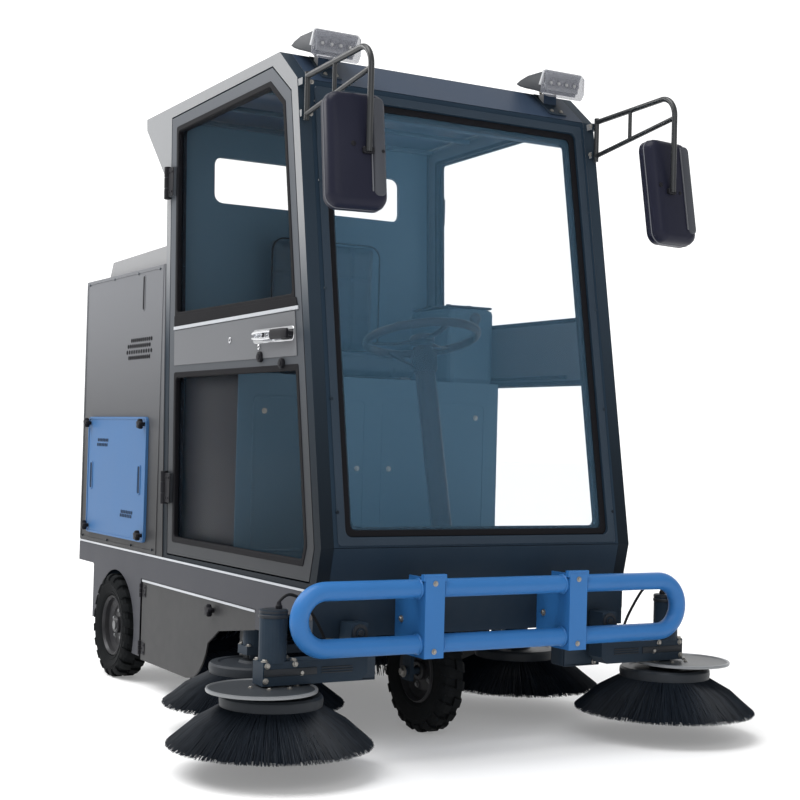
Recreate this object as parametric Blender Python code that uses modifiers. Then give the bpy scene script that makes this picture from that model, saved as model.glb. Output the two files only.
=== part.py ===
"""Ride-on sweeper with an enclosed cab, built as separate sub-parts on their joint axes.

Metres, +Z up.  The machine drives towards -Y, its left-hand side is +X, and the
origin is on the ground under the middle of its outline.
"""
from math import atan2, cos, hypot, pi, radians, sin

import bmesh
import bpy
from mathutils import Matrix, Vector

# ---------------------------------------------------------------- driving dimensions
GAP = 0.0005                # clearance between touching pieces
SIDES = (("left", 1), ("right", -1))

CAB_HALF = 0.534            # outer faces of the cab's side frames
CAB_INNER = 0.494           # inner faces of the cab's side frames
BODY_HALF = 0.537           # outer faces of the rear body and the chassis
REAR_END = 1.192            # rearmost face, the hatch
DECK_TOP = 0.475
DECK_THICK = 0.020
SKIRT_BOTTOM = 0.3945
NOSE_Y = -0.868             # front face of the chassis

FOLD = (-0.900, 0.595)      # foremost corner of the cab, side view (y, z)
CHAMFER = (-0.668, 1.940)   # top of the windscreen plane
ROOF_FRONT = (-0.543, 2.041)
ROOF_REAR = (0.574, 2.032)
PILLAR_FOOT = (0.288, DECK_TOP + GAP)
PILLAR_TOP = (0.352, 1.776)
BODY_TOP = 1.488

WHEEL_RADIUS = 0.188
FRONT_WHEEL_Y = -0.579
REAR_WHEEL_Y = 0.7475
REAR_WHEEL_X = 0.5115
REAR_TYRE_WIDTH = 0.102
FRONT_TYRE_WIDTH = 0.080

BRUSH_RADIUS = 0.280
BRUSH_TIP_Z = 0.076
FRONT_BRUSH = (0.677, -0.912)
MID_BRUSH = (0.483, -0.376)
MID_TIP_Z = 0.085

BAR_Y = -1.002
BAR_TOP_Z = 0.491
BAR_LOW_Z = 0.335
BAR_HALF = 0.646
BAR_RADIUS = 0.026
POST_X = 0.245

GUARD_RADIUS = 0.147                # disc over each front brush, off centre from the hub
GUARD_OUT = 0.042
GUARD_AHEAD = 0.029
GUARD_Z = 0.226
GUARD_THICK = 0.006
FRONT_ARM_PIVOT = (0.430, 0.366)    # arm hinges, seen from the front (x, z)
MID_ARM_PIVOT = (0.200, 0.365)
HEAD_RADIUS = 0.140

LAMP_X = 0.410
LAMP_PIVOT_Z = 2.040
MIRROR_X = 0.520
MIRROR_POST_Y = -0.708
MIRROR_TUBE_Y = -1.090
MIRROR_CENTRE_Z = 1.671
MIRROR_TILT = radians(9)            # the housings lean so that the glass looks down
MIRROR_YAW = radians(8)             # and turn so that it looks in at the driver
MIRROR_OFFSET = 0.025               # housing centre outside the tube
MIRROR_HALF_WIDTH = 0.085
MIRROR_HALF_HEIGHT = 0.160
MIRROR_DEPTH = 0.060
SEAT_TOP = 1.100

# Door and glass outlines in the side view, as (y, z)
DOOR = [(0.249, 0.492), (-0.832, 0.498), (-0.857, 0.592),
        (-0.628, 1.908), (-0.495, 2.003), (0.319, 1.990)]
UPPER_PANE = [(0.236, 1.296), (-0.694, 1.296), (-0.592, 1.884),
              (-0.486, 1.962), (0.270, 1.952)]
LOWER_PANE = [(0.205, 0.536), (-0.792, 0.540), (-0.812, 0.594),
              (-0.726, 1.105), (0.230, 1.105)]
DOOR_INNER = 0.504          # inner face of a door
HINGE_X = 0.546             # door hinge line, just outside the pillar
HINGE_LOW_Z = 0.715
HINGE_HIGH_Z = 1.765

# Finishes: colour, roughness, metallic
DARK_PAINT = ((0.050, 0.058, 0.072), 0.42, 0.0)
GREY_PAINT = ((0.135, 0.140, 0.150), 0.42, 0.0)
SILVER_PAINT = ((0.36, 0.38, 0.40), 0.38, 0.2)
BLUE_PAINT = ((0.055, 0.23, 0.62), 0.38, 0.0)
PANEL_BLUE = ((0.11, 0.26, 0.50), 0.45, 0.0)
GLASS = ((0.035, 0.060, 0.085), 0.06, 0.0)
BLACK_PLASTIC = ((0.020, 0.020, 0.024), 0.50, 0.0)
MIRROR_SHELL = ((0.040, 0.042, 0.052), 0.45, 0.0)
RUBBER = ((0.015, 0.015, 0.016), 0.85, 0.0)
BRISTLE = ((0.012, 0.014, 0.020), 0.80, 0.0)
STEEL = ((0.30, 0.31, 0.32), 0.40, 0.9)
LAMP_CLEAR = ((0.55, 0.57, 0.60), 0.15, 0.1)
SEAT_COVER = ((0.030, 0.032, 0.038), 0.60, 0.0)

SIDE_VIEW = ((0, 1, 0), (0, 0, 1))      # outline (y, z), thickness along X
FRONT_VIEW = ((1, 0, 0), (0, 0, 1))     # outline (x, z), thickness along Y
PLAN_VIEW = ((1, 0, 0), (0, 1, 0))      # outline (x, y), thickness along Z


# ---------------------------------------------------------------- scene and helpers
def clear_scene():
    for obj in list(bpy.data.objects):
        bpy.data.objects.remove(obj, do_unlink=True)


def new_collection(name):
    collection = bpy.data.collections.new(name)
    bpy.context.scene.collection.children.link(collection)
    return collection


clear_scene()
PARTS = new_collection("ride_on_sweeper")
CUTTERS = new_collection("cutters")


def place(obj, finish=None):
    """Put an object in the parts collection and give it its own material."""
    for collection in list(obj.users_collection):
        collection.objects.unlink(obj)
    PARTS.objects.link(obj)
    if finish:
        colour, roughness, metallic = finish
        material = bpy.data.materials.new(obj.name + "_finish")
        material.use_nodes = True
        shader = material.node_tree.nodes["Principled BSDF"]
        shader.inputs["Base Color"].default_value = (*colour, 1.0)
        shader.inputs["Roughness"].default_value = roughness
        shader.inputs["Metallic"].default_value = metallic
        obj.data.materials.clear()
        obj.data.materials.append(material)
    return obj


def smooth(obj, degrees=35):
    obj.data.shade_smooth()
    obj.data.set_sharp_from_angle(angle=radians(degrees))
    return obj


def mesh_from(obj):
    """Turn a curve or a modified object into a plain welded mesh object."""
    bpy.context.view_layer.update()
    graph = bpy.context.evaluated_depsgraph_get()
    mesh = bpy.data.meshes.new_from_object(obj.evaluated_get(graph))
    work = bmesh.new()
    work.from_mesh(mesh)
    bmesh.ops.remove_doubles(work, verts=work.verts, dist=0.00001)
    work.to_mesh(mesh)
    work.free()
    solid = bpy.data.objects.new(obj.name + "_solid", mesh)
    solid.matrix_world = obj.matrix_world.copy()
    PARTS.objects.link(solid)
    name = obj.name
    bpy.data.objects.remove(obj, do_unlink=True)
    solid.name = name
    return solid


def tool(obj, target, operation):
    """Use obj as a cutter or an addition of target."""
    for collection in list(obj.users_collection):
        collection.objects.unlink(obj)
    CUTTERS.objects.link(obj)
    obj.hide_render = True
    obj.display_type = "WIRE"
    boolean = target.modifiers.new(operation.lower(), "BOOLEAN")
    boolean.operation = operation
    boolean.object = obj
    boolean.solver = "EXACT"


def cut(target, *cutters):
    for cutter in cutters:
        tool(cutter, target, "DIFFERENCE")
    return target


def join(target, *additions):
    for addition in additions:
        tool(addition, target, "UNION")
    return target


def block(name, low, high, finish=None, bevel=0.0):
    """Axis-aligned box between two corners."""
    size = [b - a for a, b in zip(low, high)]
    centre = [(a + b) / 2 for a, b in zip(low, high)]
    bpy.ops.mesh.primitive_cube_add(size=1, location=centre)
    obj = bpy.context.object
    obj.name = name
    obj.data.transform(Matrix.Diagonal((*size, 1)))
    if bevel:
        rounding = obj.modifiers.new("edges", "BEVEL")
        rounding.width = bevel
        rounding.segments = 2
    return place(obj, finish)


def mirrored_block(name, side, low, high, finish=None, bevel=0.0):
    """Box given for the left-hand side, put on the side asked for."""
    xs = sorted((side * low[0], side * high[0]))
    return block(name, (xs[0], *low[1:]), (xs[1], *high[1:]), finish, bevel)


def rod(name, start, end, radius, finish=None, sides=24):
    """Cylinder between two points."""
    start, end = Vector(start), Vector(end)
    bpy.ops.mesh.primitive_cylinder_add(vertices=sides, radius=radius, depth=(end - start).length)
    obj = bpy.context.object
    obj.name = name
    obj.location = (start + end) / 2
    obj.rotation_euler = (end - start).to_track_quat("Z", "Y").to_euler()
    return smooth(place(obj, finish))


def flat(name, loops, low, high, view, finish=None):
    """Flat outline with holes; low and high are its faces along the view's normal."""
    curve = bpy.data.curves.new(name, "CURVE")
    curve.dimensions = "2D"
    curve.fill_mode = "BOTH"
    curve.extrude = (high - low) / 2
    for loop in loops:
        spline = curve.splines.new("POLY")
        spline.points.add(len(loop) - 1)
        spline.use_cyclic_u = True
        for point, (u, v) in zip(spline.points, loop):
            point.co = (u, v, 0, 1)
    obj = bpy.data.objects.new(name, curve)
    across, up = Vector(view[0]), Vector(view[1])
    normal = across.cross(up)
    turn = Matrix((across, up, normal)).transposed()
    obj.matrix_world = Matrix.Translation(normal * (low + high) / 2) @ turn.to_4x4()
    return place(obj, finish)


def side_plate(name, side, loops, inner, outer, finish=None):
    """Outline in the side view, between two distances from the middle plane."""
    low, high = sorted((side * inner, side * outer))
    return flat(name, loops, low, high, SIDE_VIEW, finish)


def turned(name, profile, origin, axis="Z", finish=None, steps=32, closed=False):
    """Solid of revolution; the profile of (radius, height) runs from top to bottom."""
    mesh = bpy.data.meshes.new(name)
    verts = [(r, 0, h) for r, h in profile]
    edges = [(i, i + 1) for i in range(len(verts) - 1)]
    if closed:
        edges.append((len(verts) - 1, 0))
    mesh.from_pydata(verts, edges, [])
    obj = bpy.data.objects.new(name, mesh)
    screw = obj.modifiers.new("turn", "SCREW")
    screw.axis = "Z"
    screw.steps = steps
    screw.render_steps = steps
    screw.use_merge_vertices = True
    screw.merge_threshold = 0.00005
    screw.use_smooth_shade = False
    obj.location = origin
    if axis == "X":
        obj.rotation_euler = (0, pi / 2, 0)
    PARTS.objects.link(obj)
    return smooth(place(mesh_from(obj), finish))


def tube(name, points, radius, finish=None, cyclic=False, sides=2):
    """Round bar along a line of points."""
    curve = bpy.data.curves.new(name, "CURVE")
    curve.dimensions = "3D"
    curve.bevel_depth = radius
    curve.bevel_resolution = sides
    curve.use_fill_caps = not cyclic
    spline = curve.splines.new("POLY")
    spline.points.add(len(points) - 1)
    spline.use_cyclic_u = cyclic
    for point, place_at in zip(spline.points, points):
        point.co = (*place_at, 1)
    obj = bpy.data.objects.new(name, curve)
    PARTS.objects.link(obj)
    return smooth(place(mesh_from(obj), finish), 50)


def pivot(name, at, *children):
    """Empty on a joint's axis, carrying the pieces that move about it."""
    empty = bpy.data.objects.new("pivot_" + name, None)
    empty.location = at
    empty.empty_display_size = 0.05
    PARTS.objects.link(empty)
    bpy.context.view_layer.update()
    for child in children:
        child.parent = empty
        child.matrix_parent_inverse = empty.matrix_world.inverted()
    return empty


# ---------------------------------------------------------------- outline tools
def area(points):
    return sum(a[0] * b[1] - b[0] * a[1] for a, b in zip(points, points[1:] + points[:1])) / 2


def grown(points, amount):
    """Outline moved outwards by an amount, corners kept sharp."""
    turn = 1 if area(points) > 0 else -1
    result = []
    count = len(points)
    for i, here in enumerate(points):
        before, after = points[i - 1], points[(i + 1) % count]
        normals = []
        for a, b in ((before, here), (here, after)):
            length = hypot(b[0] - a[0], b[1] - a[1])
            normals.append((turn * (b[1] - a[1]) / length, -turn * (b[0] - a[0]) / length))
        (ax, ay), (bx, by) = normals
        share = amount / (1 + ax * bx + ay * by)
        result.append((here[0] + share * (ax + bx), here[1] + share * (ay + by)))
    return result


def rounded(points, radius, steps=4):
    """Outline whose corners are arcs of the given radius."""
    result = []
    count = len(points)
    for i, here in enumerate(points):
        here = Vector(here)
        to_before = (Vector(points[i - 1]) - here).normalized()
        to_after = (Vector(points[(i + 1) % count]) - here).normalized()
        half = to_before.angle(to_after) / 2
        reach = radius / max(0.05, abs(sin(half) / cos(half)))
        centre = here + (to_before + to_after).normalized() * (radius / sin(half))
        start = here + to_before * reach - centre
        sweep = (here + to_after * reach - centre).angle_signed(start)
        for step in range(steps + 1):
            turn = Matrix.Rotation(sweep * step / steps, 2)
            result.append(tuple(centre + turn @ start))
    return result


def rectangle(left, bottom, right, top):
    return [(left, bottom), (right, bottom), (right, top), (left, top)]


def arc(centre, radius, start, end, steps):
    """Points of an arc, angles in degrees."""
    angles = [radians(start + (end - start) * i / steps) for i in range(steps + 1)]
    return [(centre[0] + radius * cos(a), centre[1] + radius * sin(a)) for a in angles]


def on_line(start, end, height):
    """y of the side-view line through two points, at a height."""
    return start[0] + (height - start[1]) * (end[0] - start[0]) / (end[1] - start[1])


def pillar_y(height):
    return on_line(PILLAR_FOOT, PILLAR_TOP, height)


def hinge_y(height):
    return on_line(DOOR[0], DOOR[-1], height) + 0.008


# ---------------------------------------------------------------- chassis and cab
def build_chassis():
    deck_bottom = DECK_TOP - DECK_THICK
    skirt = 0.006
    rear = REAR_END - 0.008
    chassis = block("chassis_frame", (-BODY_HALF, NOSE_Y, deck_bottom),
                    (BODY_HALF, rear, DECK_TOP), DARK_PAINT)
    for _, side in SIDES:
        join(chassis, mirrored_block("skirt", side, (BODY_HALF - skirt, NOSE_Y, SKIRT_BOTTOM),
                                     (BODY_HALF, rear, DECK_TOP - 0.002)))
        join(chassis, mirrored_block("roller_hanger", side, (0.440, 0.215, 0.125),
                                     (0.448, 0.305, deck_bottom + 0.005)))
        join(chassis, rod("roller_pin", (side * 0.405, 0.26, 0.16), (side * 0.444, 0.26, 0.16), 0.015))
        front_x, front_z = FRONT_ARM_PIVOT
        join(chassis, rod("front_arm_pin", (side * front_x, NOSE_Y + 0.02, front_z),
                          (side * front_x, -0.950, front_z), 0.013))
        mid_x, mid_z = MID_ARM_PIVOT
        join(chassis, rod("mid_arm_pin", (side * mid_x, -0.334, mid_z),
                          (side * mid_x, -0.420, mid_z), 0.012))
        join(chassis, mirrored_block("mid_arm_hanger", side, (mid_x - 0.018, -0.336, mid_z - 0.018),
                                     (mid_x + 0.018, -0.326, deck_bottom + 0.005)))
    join(chassis, block("rear_skirt", (-BODY_HALF, rear - skirt, SKIRT_BOTTOM),
                        (BODY_HALF, rear, DECK_TOP - 0.002)))
    join(chassis, block("nose_box", (-BODY_HALF, NOSE_Y, 0.345), (BODY_HALF, -0.790, DECK_TOP - 0.002)))
    join(chassis, block("mud_plate", (-0.500, 0.996, 0.255), (0.500, 1.004, deck_bottom + 0.005)))
    join(chassis, rod("steering_socket", (0, FRONT_WHEEL_Y, 0.4215), (0, FRONT_WHEEL_Y, 0.460), 0.045))
    return chassis


def build_side_frames():
    outline = [PILLAR_FOOT, (-0.872, DECK_TOP + GAP), FOLD, CHAMFER, ROOF_FRONT,
               ROOF_REAR, (0.570, 1.991), PILLAR_TOP]
    for label, side in SIDES:
        frame = side_plate("cab_side_frame_" + label, side, [outline, grown(DOOR, 0.005)],
                           CAB_INNER, CAB_HALF, SILVER_PAINT)
        frame = mesh_from(frame)
        for low_z, high_z in ((1.822, 1.842), (1.915, 1.935)):
            join(frame, mirrored_block("mirror_lug", side, (MIRROR_X - 0.012, MIRROR_POST_Y + 0.0085, low_z),
                                       (MIRROR_X + 0.012, -0.655, high_z)))


def build_roof():
    profile = [(-0.6672, 1.9408), ROOF_FRONT, ROOF_REAR, (0.570, 1.9995), (-0.543, 2.0085),
               (-0.633, 1.9375)]
    roof = mesh_from(flat("roof_panel", [profile], -CAB_INNER + GAP, CAB_INNER - GAP,
                          SIDE_VIEW, DARK_PAINT))
    for _, side in SIDES:
        join(roof, mirrored_block("lamp_lug", side, (LAMP_X - 0.025, -0.600, 1.992),
                                  (LAMP_X + 0.025, -0.572, LAMP_PIVOT_Z - 0.0065)))


def screen_frame_view():
    """Axes of the windscreen plane, and its lean from the vertical."""
    rise = Vector((0, CHAMFER[0] - FOLD[0], CHAMFER[1] - FOLD[1]))
    return rise.length, ((1, 0, 0), tuple(rise.normalized()))


def build_windscreen():
    height, view = screen_frame_view()
    thick = 0.035
    normal = Vector(view[0]).cross(Vector(view[1]))
    foot = Vector((0, *FOLD))
    offset = foot.dot(normal)
    start = foot.dot(Vector(view[1]))
    half = CAB_INNER - GAP
    outer = rectangle(-half, start + 0.001, half, start + height - 0.001)
    opening = rounded(rectangle(-0.455, start + 0.031, 0.455, start + 1.321), 0.020)
    flat("windscreen_frame", [outer, opening], offset - thick, offset, view, DARK_PAINT)
    flat("windscreen_glass", [grown(opening, -GAP)], offset - 0.016, offset - 0.010, view, GLASS)
    inner_top = foot - normal * thick
    chin = [(FOLD[0], FOLD[1] - GAP), (-0.872, DECK_TOP + GAP), (-0.837, DECK_TOP + GAP),
            (inner_top.y, inner_top.z - GAP)]
    flat("front_chin_panel", [chin], -half, half, SIDE_VIEW, DARK_PAINT)


def build_rear_wall():
    foot = Vector((0, PILLAR_FOOT[0] - 0.045, PILLAR_FOOT[1]))
    rise = Vector((0, PILLAR_TOP[0] - PILLAR_FOOT[0], PILLAR_TOP[1] - PILLAR_FOOT[1])).normalized()
    view = ((1, 0, 0), tuple(rise))
    normal = Vector(view[0]).cross(rise)
    offset = foot.dot(normal)
    start = foot.dot(rise)
    half = CAB_INNER - GAP
    window = rounded(rectangle(-0.375, start + 1.241, 0.375, start + 1.405), 0.030)
    flat("cab_rear_wall", [rectangle(-half, start + 0.002, half, start + 1.5245), window],
         offset - 0.020, offset, view, DARK_PAINT)
    flat("rear_window_glass", [grown(window, -GAP)], offset - 0.012, offset - 0.007, view, GLASS)


# ---------------------------------------------------------------- rear body
def build_rear_body():
    back = REAR_END - 0.008
    base = DECK_TOP + GAP
    clear = 0.001
    outline = [(pillar_y(base) + clear, base), (back, base), (back, BODY_TOP),
               (pillar_y(BODY_TOP) + clear, BODY_TOP)]
    body = mesh_from(flat("rear_body", [outline], -BODY_HALF, BODY_HALF, SIDE_VIEW, GREY_PAINT))
    wall = 0.012
    cut(body,
        block("hopper_room", (-BODY_HALF + wall, 0.370, base + wall),
              (BODY_HALF - wall, back - wall, BODY_TOP - wall)),
        block("hatch_opening", (-0.420, back - 0.05, 0.590), (0.420, back + 0.05, 1.370)),
        block("lid_opening", (-0.460, 0.400, BODY_TOP - 0.05), (0.460, 0.900, BODY_TOP + 0.05)))

    front = 0.3465
    profile = [(front, BODY_TOP + GAP), (0.985, BODY_TOP + GAP), (0.950, 1.548), (front, 1.558)]
    cover = mesh_from(flat("rear_cover", [profile], -0.515, 0.515, SIDE_VIEW, GREY_PAINT))
    cut(cover, block("cover_hollow", (-0.503, front + 0.012, 1.40), (0.503, 0.938, 1.540)))
    pivot("rear_cover", (0, front, 1.556), cover)

    hatch = flat("rear_hatch", [rounded(rectangle(-0.450, 0.560, 0.450, 1.400), 0.020)],
                 -REAR_END, -back - GAP, FRONT_VIEW, PANEL_BLUE)
    pivot("rear_hatch", (0.455, back, 0.98), hatch)


def build_side_panels():
    inner = BODY_HALF + GAP
    outline = rounded(rectangle(0.452, 0.511, 1.093, 0.956), 0.022)
    for label, side in SIDES:
        panel = side_plate("side_panel_" + label, side, [outline], inner, inner + 0.008, PANEL_BLUE)
        pivot("side_panel_" + label, (side * inner, 0.7725, 0.7335), panel)


def build_apron_hatches():
    sweep = arc((0.050, 0.290), 0.190, 268, 196, 6)
    outline = [(0.470, 0.384), (0.470, 0.100)] + sweep + [(-0.215, 0.285), (-0.490, 0.322), (-0.490, 0.382)]
    for label, side in SIDES:
        hatch = side_plate("apron_hatch_" + label, side, [outline], BODY_HALF - 0.006,
                           BODY_HALF, GREY_PAINT)
        pivot("apron_hatch_" + label, (side * (BODY_HALF + 0.003), 0.476, 0.24), hatch)


# ---------------------------------------------------------------- doors
def build_doors():
    lean = atan2(DOOR[-1][0] - DOOR[0][0], DOOR[-1][1] - DOOR[0][1])
    half_barrel = 0.055
    for label, side in SIDES:
        loops = [DOOR, grown(UPPER_PANE, GAP), grown(LOWER_PANE, GAP)]
        door = mesh_from(side_plate("door_frame_" + label, side, loops, DOOR_INNER, CAB_HALF, GREY_PAINT))
        for height in (HINGE_LOW_Z, HINGE_HIGH_Z):
            y = hinge_y(height)
            rise = Vector((0, sin(lean), cos(lean))) * half_barrel
            middle = Vector((side * HINGE_X, y, height))
            join(door, mirrored_block("hinge_leaf", side, (CAB_HALF - 0.002, y - 0.055, height - 0.050),
                                      (CAB_HALF + 0.012, y - 0.009, height + 0.050)))
            join(door, rod("hinge_barrel", middle - rise, middle + rise, 0.011, sides=16))
        upper = side_plate("door_glass_upper_" + label, side, [UPPER_PANE], 0.516, 0.521, GLASS)
        lower = side_plate("door_glass_lower_" + label, side, [LOWER_PANE], 0.516, 0.521, GLASS)
        handle = build_door_handle(label, side)
        pivot("door_" + label, (side * HINGE_X, hinge_y(HINGE_LOW_Z), HINGE_LOW_Z),
              door, upper, lower, handle)


def build_door_handle(label, side):
    """Lever standing off the door's rail, with its pivot post at the front end."""
    grip = mirrored_block("door_handle_" + label, side, (0.552, -0.700, 1.182),
                          (0.564, -0.440, 1.212), BLACK_PLASTIC, 0.004)
    root = CAB_HALF + 0.0015
    post = rod("handle_post", (side * root, -0.686, 1.197), (side * 0.556, -0.686, 1.197), 0.008)
    latch = mirrored_block("handle_latch", side, (root, -0.480, 1.186), (0.556, -0.450, 1.208))
    return join(grip, post, latch)


# ---------------------------------------------------------------- bumper
def build_bumper():
    middle = (BAR_TOP_Z + BAR_LOW_Z) / 2
    bend = (BAR_TOP_Z - BAR_LOW_Z) / 2
    straight = BAR_HALF - bend
    loop = arc((straight, middle), bend, -90, 90, 10) + arc((-straight, middle), bend, 90, 270, 10)
    tube("bumper_loop", [(x, BAR_Y, z) for x, z in loop], BAR_RADIUS, BLUE_PAINT, cyclic=True, sides=3)
    wall = 0.006
    half = 0.031
    front = BAR_Y - BAR_RADIUS - wall
    for label, side in SIDES:
        post = block("bumper_post_" + label, (side * POST_X - half, front, 0.299),
                     (side * POST_X + half, NOSE_Y - GAP, 0.522), BLUE_PAINT)
        bore = BAR_RADIUS + GAP
        for height in (BAR_TOP_Z, BAR_LOW_Z):
            cut(post, rod("bar_bore", (side * POST_X - 0.1, BAR_Y, height),
                          (side * POST_X + 0.1, BAR_Y, height), bore, sides=32))
        cut(post, block("channel", (side * POST_X - half + wall, front + wall, 0.2),
                        (side * POST_X + half - wall, NOSE_Y - 0.012, 0.6)),
            block("chin_clearance", (side * POST_X - 0.1, -0.940, 0.462),
                  (side * POST_X + 0.1, -0.800, 0.6)))
        join(post, block("ears", (side * POST_X - half - 0.006, front + 0.001, 0.512),
                         (side * POST_X + half + 0.006, front + 0.016, 0.530)))


# ---------------------------------------------------------------- wheels
def tyre_profile(radius, width, bead):
    """Ring section: tread, rounded shoulders, sidewalls and bead."""
    half = width / 2
    shoulder = 0.014
    return [(bead, half * 0.72), (radius - 0.030, half), (radius - shoulder, half),
            (radius, half - shoulder), (radius, -half + shoulder), (radius - shoulder, -half),
            (radius - 0.030, -half), (bead, -half * 0.72)]


def rim_profile(radius, half_width, bore):
    """Dished rim with a hub, bored for the axle."""
    web = 0.010
    hub = 0.035
    return [(bore, hub * 0.9), (hub, hub * 0.9), (hub, web), (radius - 0.014, web),
            (radius - 0.012, half_width), (radius, half_width), (radius, -half_width),
            (radius - 0.012, -half_width), (radius - 0.014, -web), (hub, -web),
            (hub, -hub * 0.9), (bore, -hub * 0.9)]


def build_wheels():
    bead = 0.112
    axle = 0.016
    tyre = tyre_profile(WHEEL_RADIUS, REAR_TYRE_WIDTH, bead)
    rim = rim_profile(bead - GAP, 0.036, axle + GAP)
    for label, side in SIDES:
        centre = (side * REAR_WHEEL_X, REAR_WHEEL_Y, WHEEL_RADIUS)
        pivot("rear_wheel_" + label, centre,
              turned("rear_tyre_" + label, tyre, centre, "X", RUBBER, 24, True),
              turned("rear_rim_" + label, rim, centre, "X", BLACK_PLASTIC, 24, True))
    stub = rod("rear_axle", (-REAR_WHEEL_X - 0.030, REAR_WHEEL_Y, WHEEL_RADIUS),
               (REAR_WHEEL_X + 0.030, REAR_WHEEL_Y, WHEEL_RADIUS), axle, STEEL)
    join(stub, block("axle_beam", (-0.430, REAR_WHEEL_Y - 0.030, WHEEL_RADIUS - 0.030),
                     (0.430, REAR_WHEEL_Y + 0.030, WHEEL_RADIUS + 0.030)))
    for _, side in SIDES:
        join(stub, mirrored_block("axle_hanger", side, (0.330, REAR_WHEEL_Y - 0.045, WHEEL_RADIUS + 0.020),
                                  (0.342, REAR_WHEEL_Y + 0.045, DECK_TOP - DECK_THICK - GAP)))


def build_front_wheel():
    bead = 0.100
    axle = 0.012
    y = FRONT_WHEEL_Y
    centre = (0, y, WHEEL_RADIUS)
    tyre = turned("front_tyre", tyre_profile(WHEEL_RADIUS, FRONT_TYRE_WIDTH, bead), centre, "X",
                  RUBBER, 24, True)
    rim = turned("front_rim", rim_profile(bead - GAP, 0.028, axle + GAP), centre, "X",
                 BLACK_PLASTIC, 24, True)
    pivot("front_wheel", centre, tyre, rim)
    fork = block("steering_fork", (-0.066, y - 0.040, 0.398), (0.066, y + 0.040, 0.412), DARK_PAINT)
    for _, side in SIDES:
        join(fork, mirrored_block("fork_leg", side, (0.052, y - 0.024, WHEEL_RADIUS - 0.028),
                                  (0.064, y + 0.024, 0.402)))
    join(fork, rod("fork_axle", (-0.074, y, WHEEL_RADIUS), (0.074, y, WHEEL_RADIUS), axle))
    join(fork, rod("fork_stem", (0, y, 0.405), (0, y, 0.421), 0.034))
    pivot("steering_fork", (0, y, 0.42), fork)


# ---------------------------------------------------------------- brushes
def brush_profile(tip, head_top):
    """Round plate with a flared skirt of bristles, hollow underneath."""
    head_bottom = head_top - 0.034
    return [(0, head_top), (0.045, head_top), (0.050, head_top - 0.010), (HEAD_RADIUS, head_top - 0.014),
            (HEAD_RADIUS, head_bottom), (0.185, head_bottom - 0.020), (BRUSH_RADIUS, tip + 0.008),
            (BRUSH_RADIUS - 0.005, tip), (BRUSH_RADIUS - 0.055, tip), (0.100, head_bottom - 0.014),
            (0, head_bottom - 0.014)]


def brush_arm(name, side, hub, eye, bar, depth, motor, finish):
    """Arm of sheet steel from its pivot eye to the gear motor over the brush."""
    hub_x, hub_y = hub
    eye_x, eye_z = eye
    bar_low, bar_high = bar
    drop = [(side * x, z) for x, z in (
        (eye_x - 0.026, eye_z + 0.026), (eye_x - 0.026, bar_low + 0.020), (eye_x - 0.006, bar_low),
        (hub_x + 0.042, bar_low), (hub_x + 0.042, bar_high), (eye_x + 0.034, bar_high),
        (eye_x + 0.026, eye_z + 0.026))]
    bore = arc((side * eye_x, eye_z), 0.0138, 0, 345, 23)
    arm = mesh_from(flat(name, [drop, bore], -depth[1], -depth[0], FRONT_VIEW, finish))
    motor_radius, motor_top = motor
    join(arm, rod("motor", (side * hub_x, hub_y, bar_high - 0.004),
                  (side * hub_x, hub_y, motor_top), motor_radius))
    join(arm, rod("shaft", (side * hub_x, hub_y, bar_low + 0.004),
                  (side * hub_x, hub_y, bar_low - 0.0165), 0.018))
    return arm


def build_front_brushes():
    hub_x, hub_y = FRONT_BRUSH
    head_top = 0.2190
    shaft = 0.0185
    for label, side in SIDES:
        centre = (side * hub_x, hub_y, 0)
        brush = turned("front_brush_" + label, brush_profile(BRUSH_TIP_Z, head_top), centre,
                       "Z", BRISTLE, 28)
        rim = arc((side * (hub_x + GUARD_OUT), hub_y - GUARD_AHEAD), GUARD_RADIUS, 0, 350, 35)
        bore = arc((side * hub_x, hub_y), shaft, 0, 345, 23)
        disc = flat("brush_guard_" + label, [rim, bore], GUARD_Z, GUARD_Z + GUARD_THICK, PLAN_VIEW, STEEL)
        arm = brush_arm("front_brush_arm_" + label, side, FRONT_BRUSH, FRONT_ARM_PIVOT,
                        (0.2365, 0.300), (-0.945, -0.880), (0.038, 0.436), DARK_PAINT)
        lead = build_motor_lead(label, side)
        pivot("front_brush_" + label, (side * hub_x, hub_y, head_top), brush)
        front_x, front_z = FRONT_ARM_PIVOT
        pivot("front_brush_arm_" + label, (side * front_x, hub_y, front_z), arm, disc, lead)


def build_motor_lead(label, side):
    """Cable from the top of the brush motor to the arm's shoulder, in one smooth bow."""
    route = [(0.662, -0.912, 0.4368), (0.662, -0.912, 0.455), (0.632, -0.911, 0.474),
             (0.590, -0.909, 0.456), (0.552, -0.908, 0.408), (0.524, -0.907, 0.360),
             (0.512, -0.906, 0.322), (0.512, -0.906, 0.3008)]
    knots = [Vector(route[0]) * 2 - Vector(route[1])] + [Vector(p) for p in route]
    knots.append(knots[-1] * 2 - knots[-2])
    points = []
    per_span = 4
    for i in range(1, len(knots) - 2):
        for step in range(per_span):
            points.append(between(knots[i - 1:i + 3], step / per_span))
    points.append(knots[-2])
    return tube("motor_lead_" + label, [(side * p.x, p.y, p.z) for p in points], 0.0042,
                RUBBER, sides=2)


def between(knots, share):
    """Point of a Catmull-Rom curve between the two middle knots."""
    before, start, end, after = knots
    square, cube = share ** 2, share ** 3
    return 0.5 * (2 * start + (end - before) * share
                  + (2 * before - 5 * start + 4 * end - after) * square
                  + (3 * start - before - 3 * end + after) * cube)


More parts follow.
